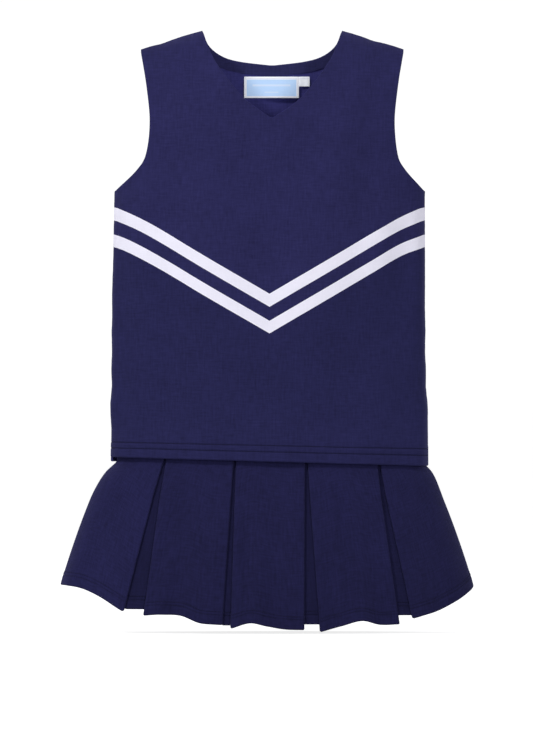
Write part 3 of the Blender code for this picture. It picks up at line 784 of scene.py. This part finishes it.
def jersey(name, colour, sheen=0.12, mottle=0.42, dark_rows=(), row_dark=0.38, inside=1.0, fade=0.0):
    """Matt cotton jersey: fine ribs and courses, heathered streaks, a soft bloom at glancing angles."""
    n = Nodes(name)
    vector, x, z, layer = n.cloth()
    across = n.noise(n.stretched(vector, 90.0, 620.0), 1.0, 3.0, 0.6)
    down = n.noise(n.stretched(vector, 560.0, 70.0), 1.0, 3.0, 0.6)
    cloud = n.noise(n.stretched(vector, 22.0, 22.0), 1.0, 4.0, 0.55)
    streak = n.maths("ADD", n.times(across, 0.4), n.times(down, 0.4))
    streak = n.maths("ADD", streak, n.times(cloud, 0.2))
    knit = n.times_plus(n.waves(z, 0.00075), 0.45, n.waves(x, 0.00085))
    value = n.times_plus(n.maths("SUBTRACT", streak, 0.5), mottle * 4, 1.0)
    value = n.times(value, n.times_plus(knit, 0.035, 1.0))
    # Darker bands along the stitch rows: painted shade in the stitched grooves.
    for row in dark_rows:
        value = n.times(value, n.times_plus(n.near(z, row, 0.0011), -row_dark, 1.0))
    # Inner faces brightened by the inside gain: painted light on cloth that lies in the top's shade.
    value = n.times(value, n.times_plus(layer, inside - 1.0, 1.0))
    # The cloth darkened towards the hem by the fade share: painted shade.
    if fade:
        value = n.times(value, n.times_plus(n.fall(z, HEM_SHADE_HEIGHT), -fade, 1.0))
    height = n.times_plus(streak, 0.8, n.times(knit, 0.25))
    return n.surface({"Base Color": n.scaled(colour, value), "Roughness": 0.95, "Specular IOR Level": 0.12,
                      "Sheen Weight": sheen, "Sheen Roughness": 0.45, "Sheen Tint": SHEEN_TINT},
                     height, 0.35, 0.0004)


def thread_material(name, colour):
    """Dull thread with a fine uneven twist."""
    n = Nodes(name)
    place = n.tree.nodes.new("ShaderNodeTexCoord").outputs["Object"]
    grain = n.noise(n.stretched(place, 2600.0, 2600.0, 900.0), 1.0)
    return n.surface({"Base Color": n.scaled(colour, n.times_plus(grain, 0.6, 0.7)), "Roughness": 0.8,
                      "Specular IOR Level": 0.15})


def label_material(name, field):
    """Woven satin: white, with a plain pale-blue field and blank bars where a field is given."""
    n = Nodes(name)
    vector, x, z, _ = n.cloth()
    from_middle = n.maths("ABSOLUTE", x)
    base = rgba(LABEL_WHITE)
    if field:
        half_width, half_height, middle, bars = field
        wide = n.maths("GREATER_THAN", half_width, from_middle)
        tall = n.maths("GREATER_THAN", half_height, n.maths("ABSOLUTE", n.maths("SUBTRACT", z, middle)))
        base = n.mix(n.times(wide, tall), base, rgba(LABEL_BLUE))
        for height, half, reach, strength in bars:
            bar = n.times(n.near(z, height, half), n.maths("GREATER_THAN", reach, from_middle))
            base = n.mix(n.times(bar, strength), base, rgba(LABEL_WHITE))
    fleck = n.noise(n.stretched(vector, 900.0, 1800.0), 1.0, 2.0)
    colour = n.scaled(base, n.times_plus(fleck, 0.14, 0.93))
    weave = n.maths("ADD", n.waves(z, 0.0005), n.waves(x, 0.0006))
    # The label glows with its own colour: painted light, brightening it beyond what the lamps give.
    return n.surface({"Base Color": colour, "Emission Color": colour, "Emission Strength": 0.30,
                      "Roughness": 0.45, "Sheen Weight": 0.15}, weave, 0.25, 0.0001)


# ==== stitches
def stitches(name, path, normals, size, material, body):
    """A row of short raised threads along a path."""
    length, gap, width = size
    path, normals = np.asarray(path), np.asarray(normals)
    run = np.concatenate([[0], np.cumsum(np.linalg.norm(np.diff(path, axis=0), axis=1))])
    starts = np.arange(gap / 2, run[-1] - length, length + gap)

    def at(distance, values):
        return np.stack([np.interp(distance, run, values[:, k]) for k in range(3)], axis=1)

    sides = 5
    rings = []
    for share, thick, lift in ((0.0, 0.35, -0.2), (0.18, 1.0, 0.55), (0.82, 1.0, 0.55), (1.0, 0.35, -0.2)):
        here = at(starts + length * share, path)
        up = unit(at(starts + length * share, normals))
        ahead = unit(at(starts + length * share + 1e-4, path) - here)
        across = np.cross(ahead, up)
        centre = here + up * width * lift
        ring = [centre + (across * math.cos(a) + up * math.sin(a)) * width / 2 * thick
                for a in np.linspace(0, 2 * math.pi, sides, endpoint=False)]
        rings.append(np.stack(ring, axis=1))
    verts = np.stack(rings, axis=1).reshape(-1, 3)
    faces = []
    for k in range(len(starts)):
        base = k * sides * len(rings)
        last = base + sides * (len(rings) - 1)
        for first in range(base, last, sides):
            for c in range(sides):
                a, b = first + c, first + (c + 1) % sides
                faces.append((a, b, b + sides, a + sides))
        faces.append(tuple(base + c for c in reversed(range(sides))))
        faces.append(tuple(last + c for c in range(sides)))
    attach(mesh_object(name, verts, faces, material), body)


# ==== the top
def torso_path(s, z, side, sink):
    """A path over the finished top, with its normals."""
    place, normal = torso_frame(s, z, side)
    place = place + normal * (soft_folds(s, z, side) - sink)[:, None] + slack.read(s, z, side) + lean(place)
    place[:, 2] += hem_tilt(place, z, side)
    return place, normal


def hem_lines():
    """Rows of points kept along the top's turned hem."""
    return [np.array([(LIMIT, TOP_HEM_Z + h), (-LIMIT, TOP_HEM_Z + h)]) for h in HEM_ROWS[1:]]


def chevron_lines():
    """The four chevron seams and the centre seam between them."""
    x = np.linspace(UNDERARM[0], 0, 60)
    lines = [to_flat(mirrored(np.stack([x, chevron_z(c, x)], axis=1))) for c in CHEVRON_Z]
    return lines + [np.array([(0.0, CHEVRON_Z[3]), (0.0, CHEVRON_Z[0])])]


def band_between(edge, inner):
    """A test for the points of a facing."""
    loop = to_flat(np.vstack([edge, inner[::-1]]))
    return lambda p: inside(p, loop)


def chevron_row(p):
    """How many chevron seams lie above each point: 0 is the yoke, 4 the lower panel."""
    x = top_width(p[:, 1]) * np.sin(p[:, 0] / RADIUS)
    return sum((p[:, 1] < chevron_z(c, x)).astype(int) for c in CHEVRON_Z)


def facing_pieces(which, sheet, side, neck, material):
    arm_edge, arm_inner = armhole_curves()
    flip = np.array([-1, 1])
    bands = {"neck_facing_" + which: band_between(*neck),
             f"armhole_facing_{which}_left": band_between(arm_edge, arm_inner),
             f"armhole_facing_{which}_right": band_between(arm_edge * flip, arm_inner * flip)}
    for node, pick in bands.items():
        torso_piece(node, sheet, pick, side, (FACING_OUT, FACING_IN), material)


def facing_lines(inner):
    _, arm = armhole_curves()
    return [to_flat(inner), to_flat(arm), to_flat(arm * np.array([-1, 1]))]


def hem_stitching(which, side, thread):
    s = np.linspace(-LIMIT + 0.001, LIMIT - 0.001, 240)
    for k, row in enumerate(TOP_STITCH_ROWS):
        path, normal = torso_path(s, np.full(len(s), TOP_HEM_Z + row), side, 0.00030)
        stitches(f"hem_stitching_{which}_{k + 1}", path, normal, TOP_STITCH, thread, "top")


def make_top(mats):
    panel = (0.0, TOP_CLOTH)
    neck = neck_curves(FRONT_NECK, 0.015)
    sheet = torso_sheet(neck[0], hem_lines() + chevron_lines() + facing_lines(neck[1]))
    torso_piece("top_front_yoke", sheet, lambda p: chevron_row(p) == 0, -1, panel, mats["navy"])
    stripes = ("upper_white", "white"), ("middle_navy", "navy"), ("lower_white", "white")
    for row, (label, key) in enumerate(stripes, 1):
        for sign, hand in ((1, "left"), (-1, "right")):
            torso_piece(f"chevron_{label}_{hand}", sheet,
                        lambda p, r=row, g=sign: (chevron_row(p) == r) & (p[:, 0] * g > 0),
                        -1, panel, mats[key])
    torso_piece("top_front_lower", sheet, lambda p: chevron_row(p) == 4, -1, panel, mats["lower"])
    facing_pieces("front", sheet, -1, neck, mats["inside"])
    hem_stitching("front", -1, mats["thread"])
    neck = neck_curves(BACK_NECK, NECK_FACING)
    sheet = torso_sheet(neck[0], hem_lines() + facing_lines(neck[1]))
    torso_piece("top_back", sheet, lambda p: np.full(len(p), True), 1, panel, mats["back"])
    facing_pieces("back", sheet, 1, neck, mats["inside"])
    hem_stitching("back", 1, mats["thread"])


def make_label(node, body, material, thread, bow):
    """A thin woven label filling its CAD node's place, bowed a little as cloth."""
    low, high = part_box(node)
    cols, rows = 28, 12
    u, v = np.meshgrid(np.linspace(0, 1, cols), np.linspace(0, 1, rows))
    x = low.x + (high.x - low.x) * u
    z = low.z + (high.z - low.z) * v
    head, foot = label_front(node)
    y = head + (foot - head) * (1 - v)
    y = y - bow * np.sin(math.pi * u) * (1 - v) ** 1.5 - 0.0004 * np.sin(u * 9 + 1) * (1 - v)
    centre = np.stack([x, y, z], axis=-1).reshape(-1, 3)
    centre = centre + lean(centre)
    front = centre + np.array([0, -LABEL_HALF, 0])
    back = centre + np.array([0, LABEL_HALF, 0])
    faces = [(r * cols + c, r * cols + c + 1, (r + 1) * cols + c + 1, (r + 1) * cols + c)
             for r in range(rows - 1) for c in range(cols - 1)]
    verts, solid, source = shell(front, back, faces, np.full(len(front), 0.00015))
    middle_x = (low.x + high.x) / 2 + lean(np.array([[0.0, 0.0, high.z]]))[0, 0]
    coordinate = np.stack([centre[source, 0] - middle_x, centre[source, 2], np.zeros(len(source))], axis=1)
    dress(mesh_object("soft_" + node, verts, solid, material, coordinate), body, node)
    path = front.reshape(rows, cols, 3)[-1] + np.array([0, -0.0001, -0.0011])
    stitches(node + "_stitching", path, np.tile([0, -1, 0], (cols, 1)), LABEL_STITCH, thread, body)


def label_front(node):
    """y of the front of a label's CAD node at its top and at its foot."""
    co = np.array([v.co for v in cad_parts[node].data.vertices])
    top = co[:, 2] > co[:, 2].max() - 1e-4
    return co[top, 1].mean(), co[~top, 1].mean()


# ==== the skirt
def bell_frame(angle, z):
    """Points and outward normals of the skirt's bell; angle in degrees, 0 at centre front."""
    t = np.radians(angle)

    def place(turn, height):
        width, depth = skirt_width(height), skirt_depth(height)
        swing = -0.0027 * np.sin(turn) ** 2 * rise(SKIRT_SEAM_Z - height, 0.002, 0.045)
        return np.stack([width * np.sin(turn) + swing, -depth * np.cos(turn), height + 0 * turn], axis=-1)

    here = place(t, z)
    around = place(t + 1e-3, z) - place(t - 1e-3, z)
    upward = place(t, np.minimum(z + 0.003, WAIST_TOP_Z)) - place(t, z - 0.003)
    return here, unit(np.cross(around, upward))


def metres_per_degree(angle, z):
    """Distance round the bell for one degree."""
    width, depth = skirt_width(z), skirt_depth(z)
    t = np.radians(angle)
    return np.radians(1) * np.hypot(width * np.cos(t), depth * np.sin(t))


def opening_line(opening, z):
    """Angle of an opening's middle and half its gap in degrees, at a height."""
    start, sense, x_top, x_hem, gap_top, gap_hem = opening
    down = np.clip((SKIRT_SEAM_Z - z) / SKIRT_SEAM_Z, 0, 1)
    x = x_top + (x_hem - x_top) * down
    angle = start + sense * np.degrees(np.arcsin(x / skirt_width(z)))
    gap = gap_top + (gap_hem - gap_top) * down
    return angle, gap / 2 / metres_per_degree(angle, z)


def openings():
    """Openings in order round the skirt: angle they start from, sense, and their four measures."""
    front = [(0.0, 1.0) + opening for opening in FRONT_OPENINGS]
    back = [(180.0, -1.0) + opening for opening in reversed(FRONT_OPENINGS)]
    left_side = (90.0, 0.0, 0.0, 0.0) + SIDE_OPENING
    right_side = (270.0, 0.0, 0.0, 0.0) + SIDE_OPENING
    return front + [left_side] + back + [right_side]


def hem_curve(values, u):
    """Smooth hem height across a panel."""
    x = np.linspace(0, 1, len(values))
    fine = curve_through(list(zip(x, values)))
    return np.interp(np.clip(u, 0, 1), fine[:, 0], fine[:, 1])


def billow(u, v, amount, waves, phase):
    """Depth of a panel's soft folds: none at the yoke, most at the hem."""
    grow = np.clip(v, 0, 1) ** 1.4
    main = np.sin(2 * math.pi * (waves * u + phase))
    fine = 0.35 * np.sin(2 * math.pi * (2.3 * waves * u + 2 * phase + 0.25 * v))
    return amount * grow * (main + fine) * np.sin(math.pi * np.clip(u, 0.02, 0.98)) ** 0.5


def crease(name, place, v):
    """Depth of the soft creases of a face: a valley with one steep wall and one that fades away."""
    total = np.zeros(len(place))
    for (x0, z0), (x1, z1), depth, left, right in FACE_CREASES.get(name, ()):
        line = x0 + (x1 - x0) * (z0 - place[:, 2]) / (z0 - z1)
        away = place[:, 0] - line
        away = away / np.where(away < 0, left, right)
        length = rise(place[:, 2], z1 - 0.06, z1 + 0.05) * (1 - rise(place[:, 2], z0 - 0.02, z0 + 0.02))
        total = total + depth * np.exp(-away * away) * length
    return total * np.clip(v / 0.4, 0, 1)


def grid_solid(name, centre, half, material, coordinate, extra_out=None):
    """A sheet given as a grid of mid-surface points, made solid with a rounded rim."""
    rows, cols = centre.shape[:2]
    around = np.gradient(centre, axis=1)
    down = np.gradient(centre, axis=0)
    normal = unit(np.cross(around, -down))
    push = half if extra_out is None else half + extra_out
    outer = (centre + normal * push[..., None]).reshape(-1, 3)
    inner = (centre - normal * half[..., None]).reshape(-1, 3)
    faces = [((r + 1) * cols + c, (r + 1) * cols + c + 1, r * cols + c + 1, r * cols + c)
             for r in range(rows - 1) for c in range(cols - 1)]
    verts, solid, source = shell(outer, inner, faces, half.reshape(-1) * 0.9)
    return mesh_object(name, verts, solid, material, coordinate.reshape(-1, 3)[source]), normal


def panel_rows(count):
    """Shares of the way down a panel above its hem, closer together near the seam."""
    share = np.linspace(0, 1, count)
    return 0.55 * share + 0.45 * share**2


def heights(top, foot, rows):
    """Heights of a column's rows: evenly to the hem, then the fixed hem rows."""
    start = foot + SKIRT_HEM_ROWS[0] + 0.002
    return np.concatenate([top - (top - start) * rows, foot + np.array(SKIRT_HEM_ROWS)])


def hem_relief(z_above):
    """How far the hem's outer face stands proud, with its stitch rows sunk in."""
    relief = 0.00025 * (1 - rise(z_above, *SKIRT_HEM_EDGE))
    for row in SKIRT_STITCH_ROWS:
        relief = relief - 0.00045 * bump_at(z_above, row, 0.0012)
    return relief


def face_columns():
    """Columns of a face as (share across, distance along, depth behind), and its flat front's slice."""
    left = [(0.0, FOLD_RADIUS + FLAP * f, 2 * FOLD_RADIUS) for f in np.linspace(1, 0.12, 7)]
    for turn in np.linspace(math.pi, 0, 7)[:-1]:
        along = FOLD_RADIUS - FOLD_RADIUS * math.sin(turn)
        left.append((0.0, along, FOLD_RADIUS - FOLD_RADIUS * math.cos(turn)))
    front = [(u, 0.0, 0.0) for u in np.linspace(0, 1, 30)]
    right = [(1.0, -along, behind) for _, along, behind in reversed(left)]
    return left + front + right, slice(len(left), len(left) + len(front))


def blank(rows, cols):
    """Empty grids for a panel's points, its cloth coordinates and its heights above the hem."""
    return np.zeros((rows, cols, 3)), np.zeros((rows, cols, 3)), np.zeros((rows, cols))


def hang(obj, node):
    """Bake a panel's placement into its mesh, and hide its CAD node."""
    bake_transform(obj)
    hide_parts(node)


def panel_stitching(name, centre, normal, above, span, thread, body):
    """Rows of stitching along a panel's hem, over a slice of its columns."""
    for k, row in enumerate(SKIRT_STITCH_ROWS):
        r = int(np.argmin(np.abs(above[:, span.start] - row)))
        path = centre[r, span] + normal[r, span] * (SKIRT_CLOTH / 2 + THREAD_LIFT)
        stitches(f"{name}_{k + 1}", path, normal[r, span], SKIRT_STITCH, thread, body)


def make_face(name, before, after, hem, waves, mats):
    """A pleat's face with its two edges folded back behind it."""
    column, span = face_columns()
    rows = panel_rows(30)
    centre, coordinate, above = blank(len(rows) + len(SKIRT_HEM_ROWS), len(column))
    half_cloth = SKIRT_CLOTH / 2
    first, last = opening_line(before, PANEL_Z)[0], opening_line(after, PANEL_Z)[0]
    wide = (last - first) * metres_per_degree((last + first) / 2, PANEL_Z)
    behinds = np.array([behind for _, _, behind in column])
    feet = hem_curve(hem, np.array([u + along / wide for u, along, _ in column]))
    feet = feet + 0.0006 * behinds / FOLD_RADIUS
    for c, (u, along, behind) in enumerate(column):
        z = heights(SKIRT_SEAM_Z - 0.0002, feet[c], rows)
        left_mid, left_half = opening_line(before, z)
        right_mid, right_half = opening_line(after, z)
        left, right = left_mid + left_half, right_mid - right_half
        inset = FOLD_RADIUS / metres_per_degree(left, z), FOLD_RADIUS / metres_per_degree(right, z)
        angle = left + inset[0] + (right - inset[1] - left - inset[0]) * u
        if behind:
            beyond = along - FOLD_RADIUS if u == 0.0 else along + FOLD_RADIUS
            angle = angle + beyond / metres_per_degree(angle, z)
        place, normal = bell_frame(angle, z)
        v = (SKIRT_SEAM_Z - z) / (SKIRT_SEAM_Z - feet[c])
        out = billow((angle - left) / (right - left), v, *waves) - crease(name, place, v)
        centre[:, c] = place + normal * (out - half_cloth - behind)[:, None]
        centre[:, c, 2] = np.where(z < 0.02, np.maximum(centre[:, c, 2], z), centre[:, c, 2])
        above[:, c] = z - feet[c]
        coordinate[:, c] = np.stack([angle * CLOTH_PER_DEGREE, z - feet[c], 0 * z], axis=1)
    half = half_cloth + 0.0003 * (1 - rise(above, *SKIRT_HEM_EDGE))
    relief = hem_relief(above) * (behinds < 1e-9)
    # The front_right_side face takes a lighter copy of the skirt cloth, without the darkening to the hem:
    # painted light.
    cloth = mats["skirt_lit" if name == "front_right_side" else "skirt"]
    obj, normal = grid_solid("soft_pleat_face_" + name, centre, half, cloth, coordinate, relief)
    hang(obj, "pleat_face_" + name)
    panel_stitching("pleat_stitching_" + name, centre, normal, above, span, mats["thread"], "face_" + name)


def underlay_foot(along, half_gap, before, after, level):
    """Hem height of an underlay at a distance along it: level in the opening, then above the faces' hems."""
    hem_before, hem_after = FACES[before][0], FACES[after][0]
    level = level or max(hem_before[-1], hem_after[0]) + UNDERLAY_LIFT
    if along < -half_gap:
        return max(level, hem_curve(hem_before, 1 + (along + half_gap) / PANEL_WIDTH) + UNDERLAY_LIFT)
    if along > half_gap:
        return max(level, hem_curve(hem_after, (along - half_gap) / PANEL_WIDTH) + UNDERLAY_LIFT)
    return level


def make_underlay(name, opening, before, after, mats):
    """The strip behind an opening, reaching in behind the two faces beside it."""
    at_side = "side" in name
    reach = SIDE_UNDERLAY_REACH if at_side else UNDERLAY_REACH
    shares = np.linspace(-1, 1, 34 if at_side else 18)
    rows = panel_rows(22)
    centre, coordinate, above = blank(len(rows) + len(SKIRT_HEM_ROWS), len(shares))
    middle, half_angle = opening_line(opening, PANEL_Z)
    half_gap = half_angle * metres_per_degree(middle, PANEL_Z)
    for c, u in enumerate(shares):
        foot = underlay_foot(u * (half_gap + reach[1]), half_gap, before, after, UNDERLAY_FEET.get(name))
        z = heights(SKIRT_SEAM_Z - 0.0004, foot, rows)
        middle, half_angle = opening_line(opening, z)
        down = np.clip((SKIRT_SEAM_Z - z) / SKIRT_SEAM_Z, 0, 1)
        width = reach[0] + (reach[1] - reach[0]) * down
        angle = middle + u * (half_angle + width / metres_per_degree(middle, z))
        place, normal = bell_frame(angle, z)
        centre[:, c] = place - normal * UNDERLAY_DEPTH
        above[:, c] = z - foot
        coordinate[:, c] = np.stack([angle * CLOTH_PER_DEGREE, z - foot, 0 * z], axis=1)
    half = np.full_like(above, SKIRT_CLOTH / 2)
    # The underlays take the skirt cloth darkened to 70 %: painted shade behind the faces.
    obj, normal = grid_solid("soft_pleat_underlay_" + name, centre, half, mats["skirt_shaded_underlay"], coordinate,
                             hem_relief(above))
    body = "underlay_" + name
    hang(obj, "pleat_underlay_" + name)
    panel_stitching("underlay_stitching_" + name, centre, normal, above, slice(0, None), mats["thread"], body)


def gathers(angle):
    """How far the waistband's cloth stands out where the elastic gathers it."""
    turn = np.radians(angle) * GATHERS
    return GATHER_DEPTH * (np.sin(turn) + 0.4 * np.sin(turn * 0.37))


def ring_piece(node, outline, material):
    """A band round the waist swept from a closed outline of (inward, height, share of the gathers)."""
    points = np.array(outline, float)
    size = len(points)
    verts, coordinate, faces = [], [], []
    for k in range(RING_STEPS):
        angle = 360.0 * k / RING_STEPS
        place, normal = bell_frame(np.full(size, angle), points[:, 1])
        normal[:, 2] = 0
        verts.append(place - unit(normal) * (points[:, 0] - gathers(angle) * points[:, 2])[:, None])
        coordinate.append(np.stack([np.full(size, angle * WAIST_CLOTH_PER_DEGREE), points[:, 1],
                                    points[:, 0] * 0], axis=1))
        a, b = k * size, (k + 1) % RING_STEPS * size
        faces += [(a + i, b + i, b + (i + 1) % size, a + (i + 1) % size) for i in range(size)]
    obj = mesh_object("soft_" + node, np.vstack(verts), faces, material, np.vstack(coordinate))
    dress(obj, "skirt_base", node)


def casing_outline():
    """Section of the folded waistband casing, up its outside, over the roll and down inside."""
    top, low = WAIST_TOP_Z - 0.0006, CASING_Z - 0.0010
    h = np.linspace(low, top - 0.0015, 10)
    outside = [(0.0005 - 0.0006 * math.sin((z - low) / (top - low) * math.pi), z, 1.0) for z in h]
    roll = [(0.0021 - 0.0019 * math.cos(a), top - 0.0015 + 0.0015 * math.sin(a), 1.0)
            for a in np.linspace(0.3, math.pi - 0.3, 7)]
    back = [(0.0040, z, 0.7) for z in reversed(h)]
    inner = [(0.0032, z, 0.7) for z in np.linspace(low, top - 0.0020, 8)]
    front_in = [(0.0009, z, 0.8) for z in np.linspace(top - 0.0020, low, 8)]
    return outside + roll + back + inner + front_in


def elastic_outline():
    """Section of the elastic inside the casing, ribbed on its outer face."""
    low, top = CASING_Z + 0.0012, WAIST_TOP_Z - 0.0035
    ribs = [(0.0014 + 0.0001 * (k % 2), z, 0.75) for k, z in enumerate(np.linspace(low, top, 13))]
    return ribs + [(0.0026, z, 0.75) for z in np.linspace(top, low, 5)]


def make_yoke(which, start, material):
    """Half of the fitted band between waistband and pleats, gathered towards its top."""
    a, z = np.meshgrid(np.linspace(start, start + 180.0, 150),
                       np.linspace(CASING_Z - 0.0012, SKIRT_SEAM_Z + 0.0002, 22))
    place, normal = bell_frame(a, z)
    gather = np.sin(np.radians(a) * GATHERS) * 0.0006 + np.sin(np.radians(a) * 31 + 1) * 0.0004
    fade = rise(z, SKIRT_SEAM_Z + 0.02, CASING_Z)
    centre = place - normal * (0.0006 - gather * fade)[..., None]
    coordinate = np.stack([a * CLOTH_PER_DEGREE, z, 0 * a], axis=-1)
    node = "skirt_yoke_" + which
    obj, _ = grid_solid("soft_" + node, centre, np.full(a.shape, SKIRT_CLOTH / 2), material, coordinate)
    dress(obj, "skirt_base", node)


def make_waist(mats):
    ring_piece("waistband_casing", casing_outline(), mats["skirt"])
    ring_piece("waistband_elastic", elastic_outline(), mats["elastic"])
    make_yoke("front", -90.0, mats["skirt"])
    make_yoke("back", 90.0, mats["skirt"])
    angle = np.linspace(0, 360, 700)
    for k, z in enumerate((CASING_Z + 0.0025, WAIST_TOP_Z - 0.0050)):
        place, normal = bell_frame(angle, np.full(len(angle), z))
        path = place + normal * (gathers(angle) - 0.0001)[:, None]
        stitches(f"waistband_stitching_{k + 1}", path, normal, WAIST_STITCH, mats["thread"], "skirt_base")


def make_skirt(mats):
    ring = openings()
    following = ring[1:] + [(ring[0][0] + 360.0,) + ring[0][1:]]
    for (name, (hem, waves)), before, after in zip(FACES.items(), ring, following):
        make_face(name, before, after, hem, waves, mats)
    for k, name in enumerate(UNDERLAY_NAMES):
        make_underlay(name, ring[k], FACE_NAMES[k - 1], FACE_NAMES[k], mats)


# ==== studio
def make_floor():
    """A plain pale floor that shows white, with the object's own soft shadow on it."""
    mesh = bpy.data.meshes.new("floor")
    square = (-1, -1), (1, -1), (1, 1), (-1, 1)
    mesh.from_pydata([(x * FLOOR_REACH, y * FLOOR_REACH, FLOOR_Z) for x, y in square], [], [(0, 1, 2, 3)])
    floor = bpy.data.objects.new("floor", mesh)
    bpy.context.scene.collection.objects.link(floor)
    n = Nodes("pale_floor")
    seen = n.tree.nodes.new("ShaderNodeLightPath").outputs["Is Camera Ray"]
    mesh.materials.append(n.surface({
        "Base Color": (0.50, 0.50, 0.51, 1), "Roughness": 0.9, "Specular IOR Level": 0.0,
        "Emission Color": (1, 1, 1, 1), "Emission Strength": n.times_plus(seen, 0.68, 0.12)}))


def make_sky(scene):
    """White surroundings, brighter to the camera than as a light."""
    world = bpy.data.worlds.new("studio")
    scene.world = world
    world.use_nodes = True
    tree = world.node_tree
    background = tree.nodes["Background"]
    path = tree.nodes.new("ShaderNodeLightPath")
    mix = tree.nodes.new("ShaderNodeMix")
    mix.data_type = "FLOAT"
    tree.links.new(path.outputs["Is Camera Ray"], mix.inputs[0])
    mix.inputs[2].default_value = SKY_LIGHT
    mix.inputs[3].default_value = SKY_SEEN
    background.inputs[0].default_value = (1, 1, 1, 1)
    tree.links.new(mix.outputs[0], background.inputs[1])


def make_studio():
    scene = bpy.context.scene
    make_sky(scene)
    make_floor()
    for name, place, aim, size, power in LIGHTS:
        light = bpy.data.lights.new(name, "AREA")
        light.size = size
        light.energy = power
        obj = bpy.data.objects.new(name, light)
        obj.location = place
        obj.rotation_euler = (Vector((0, 0, aim)) - Vector(place)).to_track_quat("-Z", "Y").to_euler()
        obj.visible_camera = False
        scene.collection.objects.link(obj)
    camera = bpy.data.cameras.new("camera")
    camera.lens = CAMERA_LENS
    camera.sensor_width = 36.0
    camera.clip_end = 200.0
    eye = bpy.data.objects.new("camera", camera)
    eye.location = CAMERA_PLACE
    eye.rotation_euler = (math.pi / 2, 0, 0)
    scene.collection.objects.link(eye)
    scene.camera = eye
    scene.view_settings.view_transform = "Standard"
    scene.view_settings.look = "None"


# ==== build
def materials():
    # Rows darkened along the hem stitching: painted shade in the stitched grooves.
    top_rows = tuple(TOP_HEM_Z + r for r in TOP_STITCH_ROWS)
    skirt = {"dark_rows": SKIRT_STITCH_ROWS, "row_dark": 0.22}
    return {
        # The inside gains brighten each top piece's inner face: painted light.
        "navy": jersey("navy_jersey_soft", NAVY, inside=1.8),
        "lower": jersey("navy_jersey_lower_soft", NAVY_LOWER, dark_rows=top_rows, inside=1.5),
        "back": jersey("navy_jersey_back_soft", NAVY, dark_rows=top_rows, inside=2.5),
        # Facings take the lightened navy: painted light.
        "inside": jersey("navy_inside_soft", LIT_INSIDE_NAVY),
        "white": jersey("white_jersey_soft", WHITE, sheen=0.05, mottle=0.05),
        # The skirt's faces darken towards their hems: painted shade.
        "skirt": jersey("skirt_jersey_soft", SKIRT_NAVY, mottle=0.52, fade=0.15, **skirt),
        # A lighter copy of the skirt cloth for one face: painted light.
        "skirt_lit": jersey("skirt_jersey_side_lit_soft", tinted(SKIRT_NAVY, 1.08), mottle=0.52, **skirt),
        # The skirt cloth darkened to 70 % for the underlays: painted shade in the openings.
        "skirt_shaded_underlay": jersey("skirt_underlay_soft", tinted(SKIRT_NAVY, 0.70), **skirt),
        "thread": thread_material("navy_thread", THREAD),
        "white_thread": thread_material("white_thread", WHITE_THREAD),
        "label": label_material("label_weave", LABEL_FIELD),
        "tab": label_material("tab_weave", None),
        "elastic": jersey("elastic_weave", ELASTIC, sheen=0.1, mottle=0.04),
    }


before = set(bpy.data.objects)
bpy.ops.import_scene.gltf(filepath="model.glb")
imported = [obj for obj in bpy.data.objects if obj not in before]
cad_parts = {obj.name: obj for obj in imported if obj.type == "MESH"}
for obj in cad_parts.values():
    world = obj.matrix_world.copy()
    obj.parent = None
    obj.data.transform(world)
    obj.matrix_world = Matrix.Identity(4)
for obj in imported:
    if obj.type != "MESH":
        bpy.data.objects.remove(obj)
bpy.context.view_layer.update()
mats = materials()
simulate_top()
make_top(mats)
make_label("neck_label", "label", mats["label"], mats["white_thread"], 0.0012)
make_label("size_tab", "size_tab", mats["tab"], mats["white_thread"], 0.0003)
make_waist(mats)
make_skirt(mats)
make_studio()
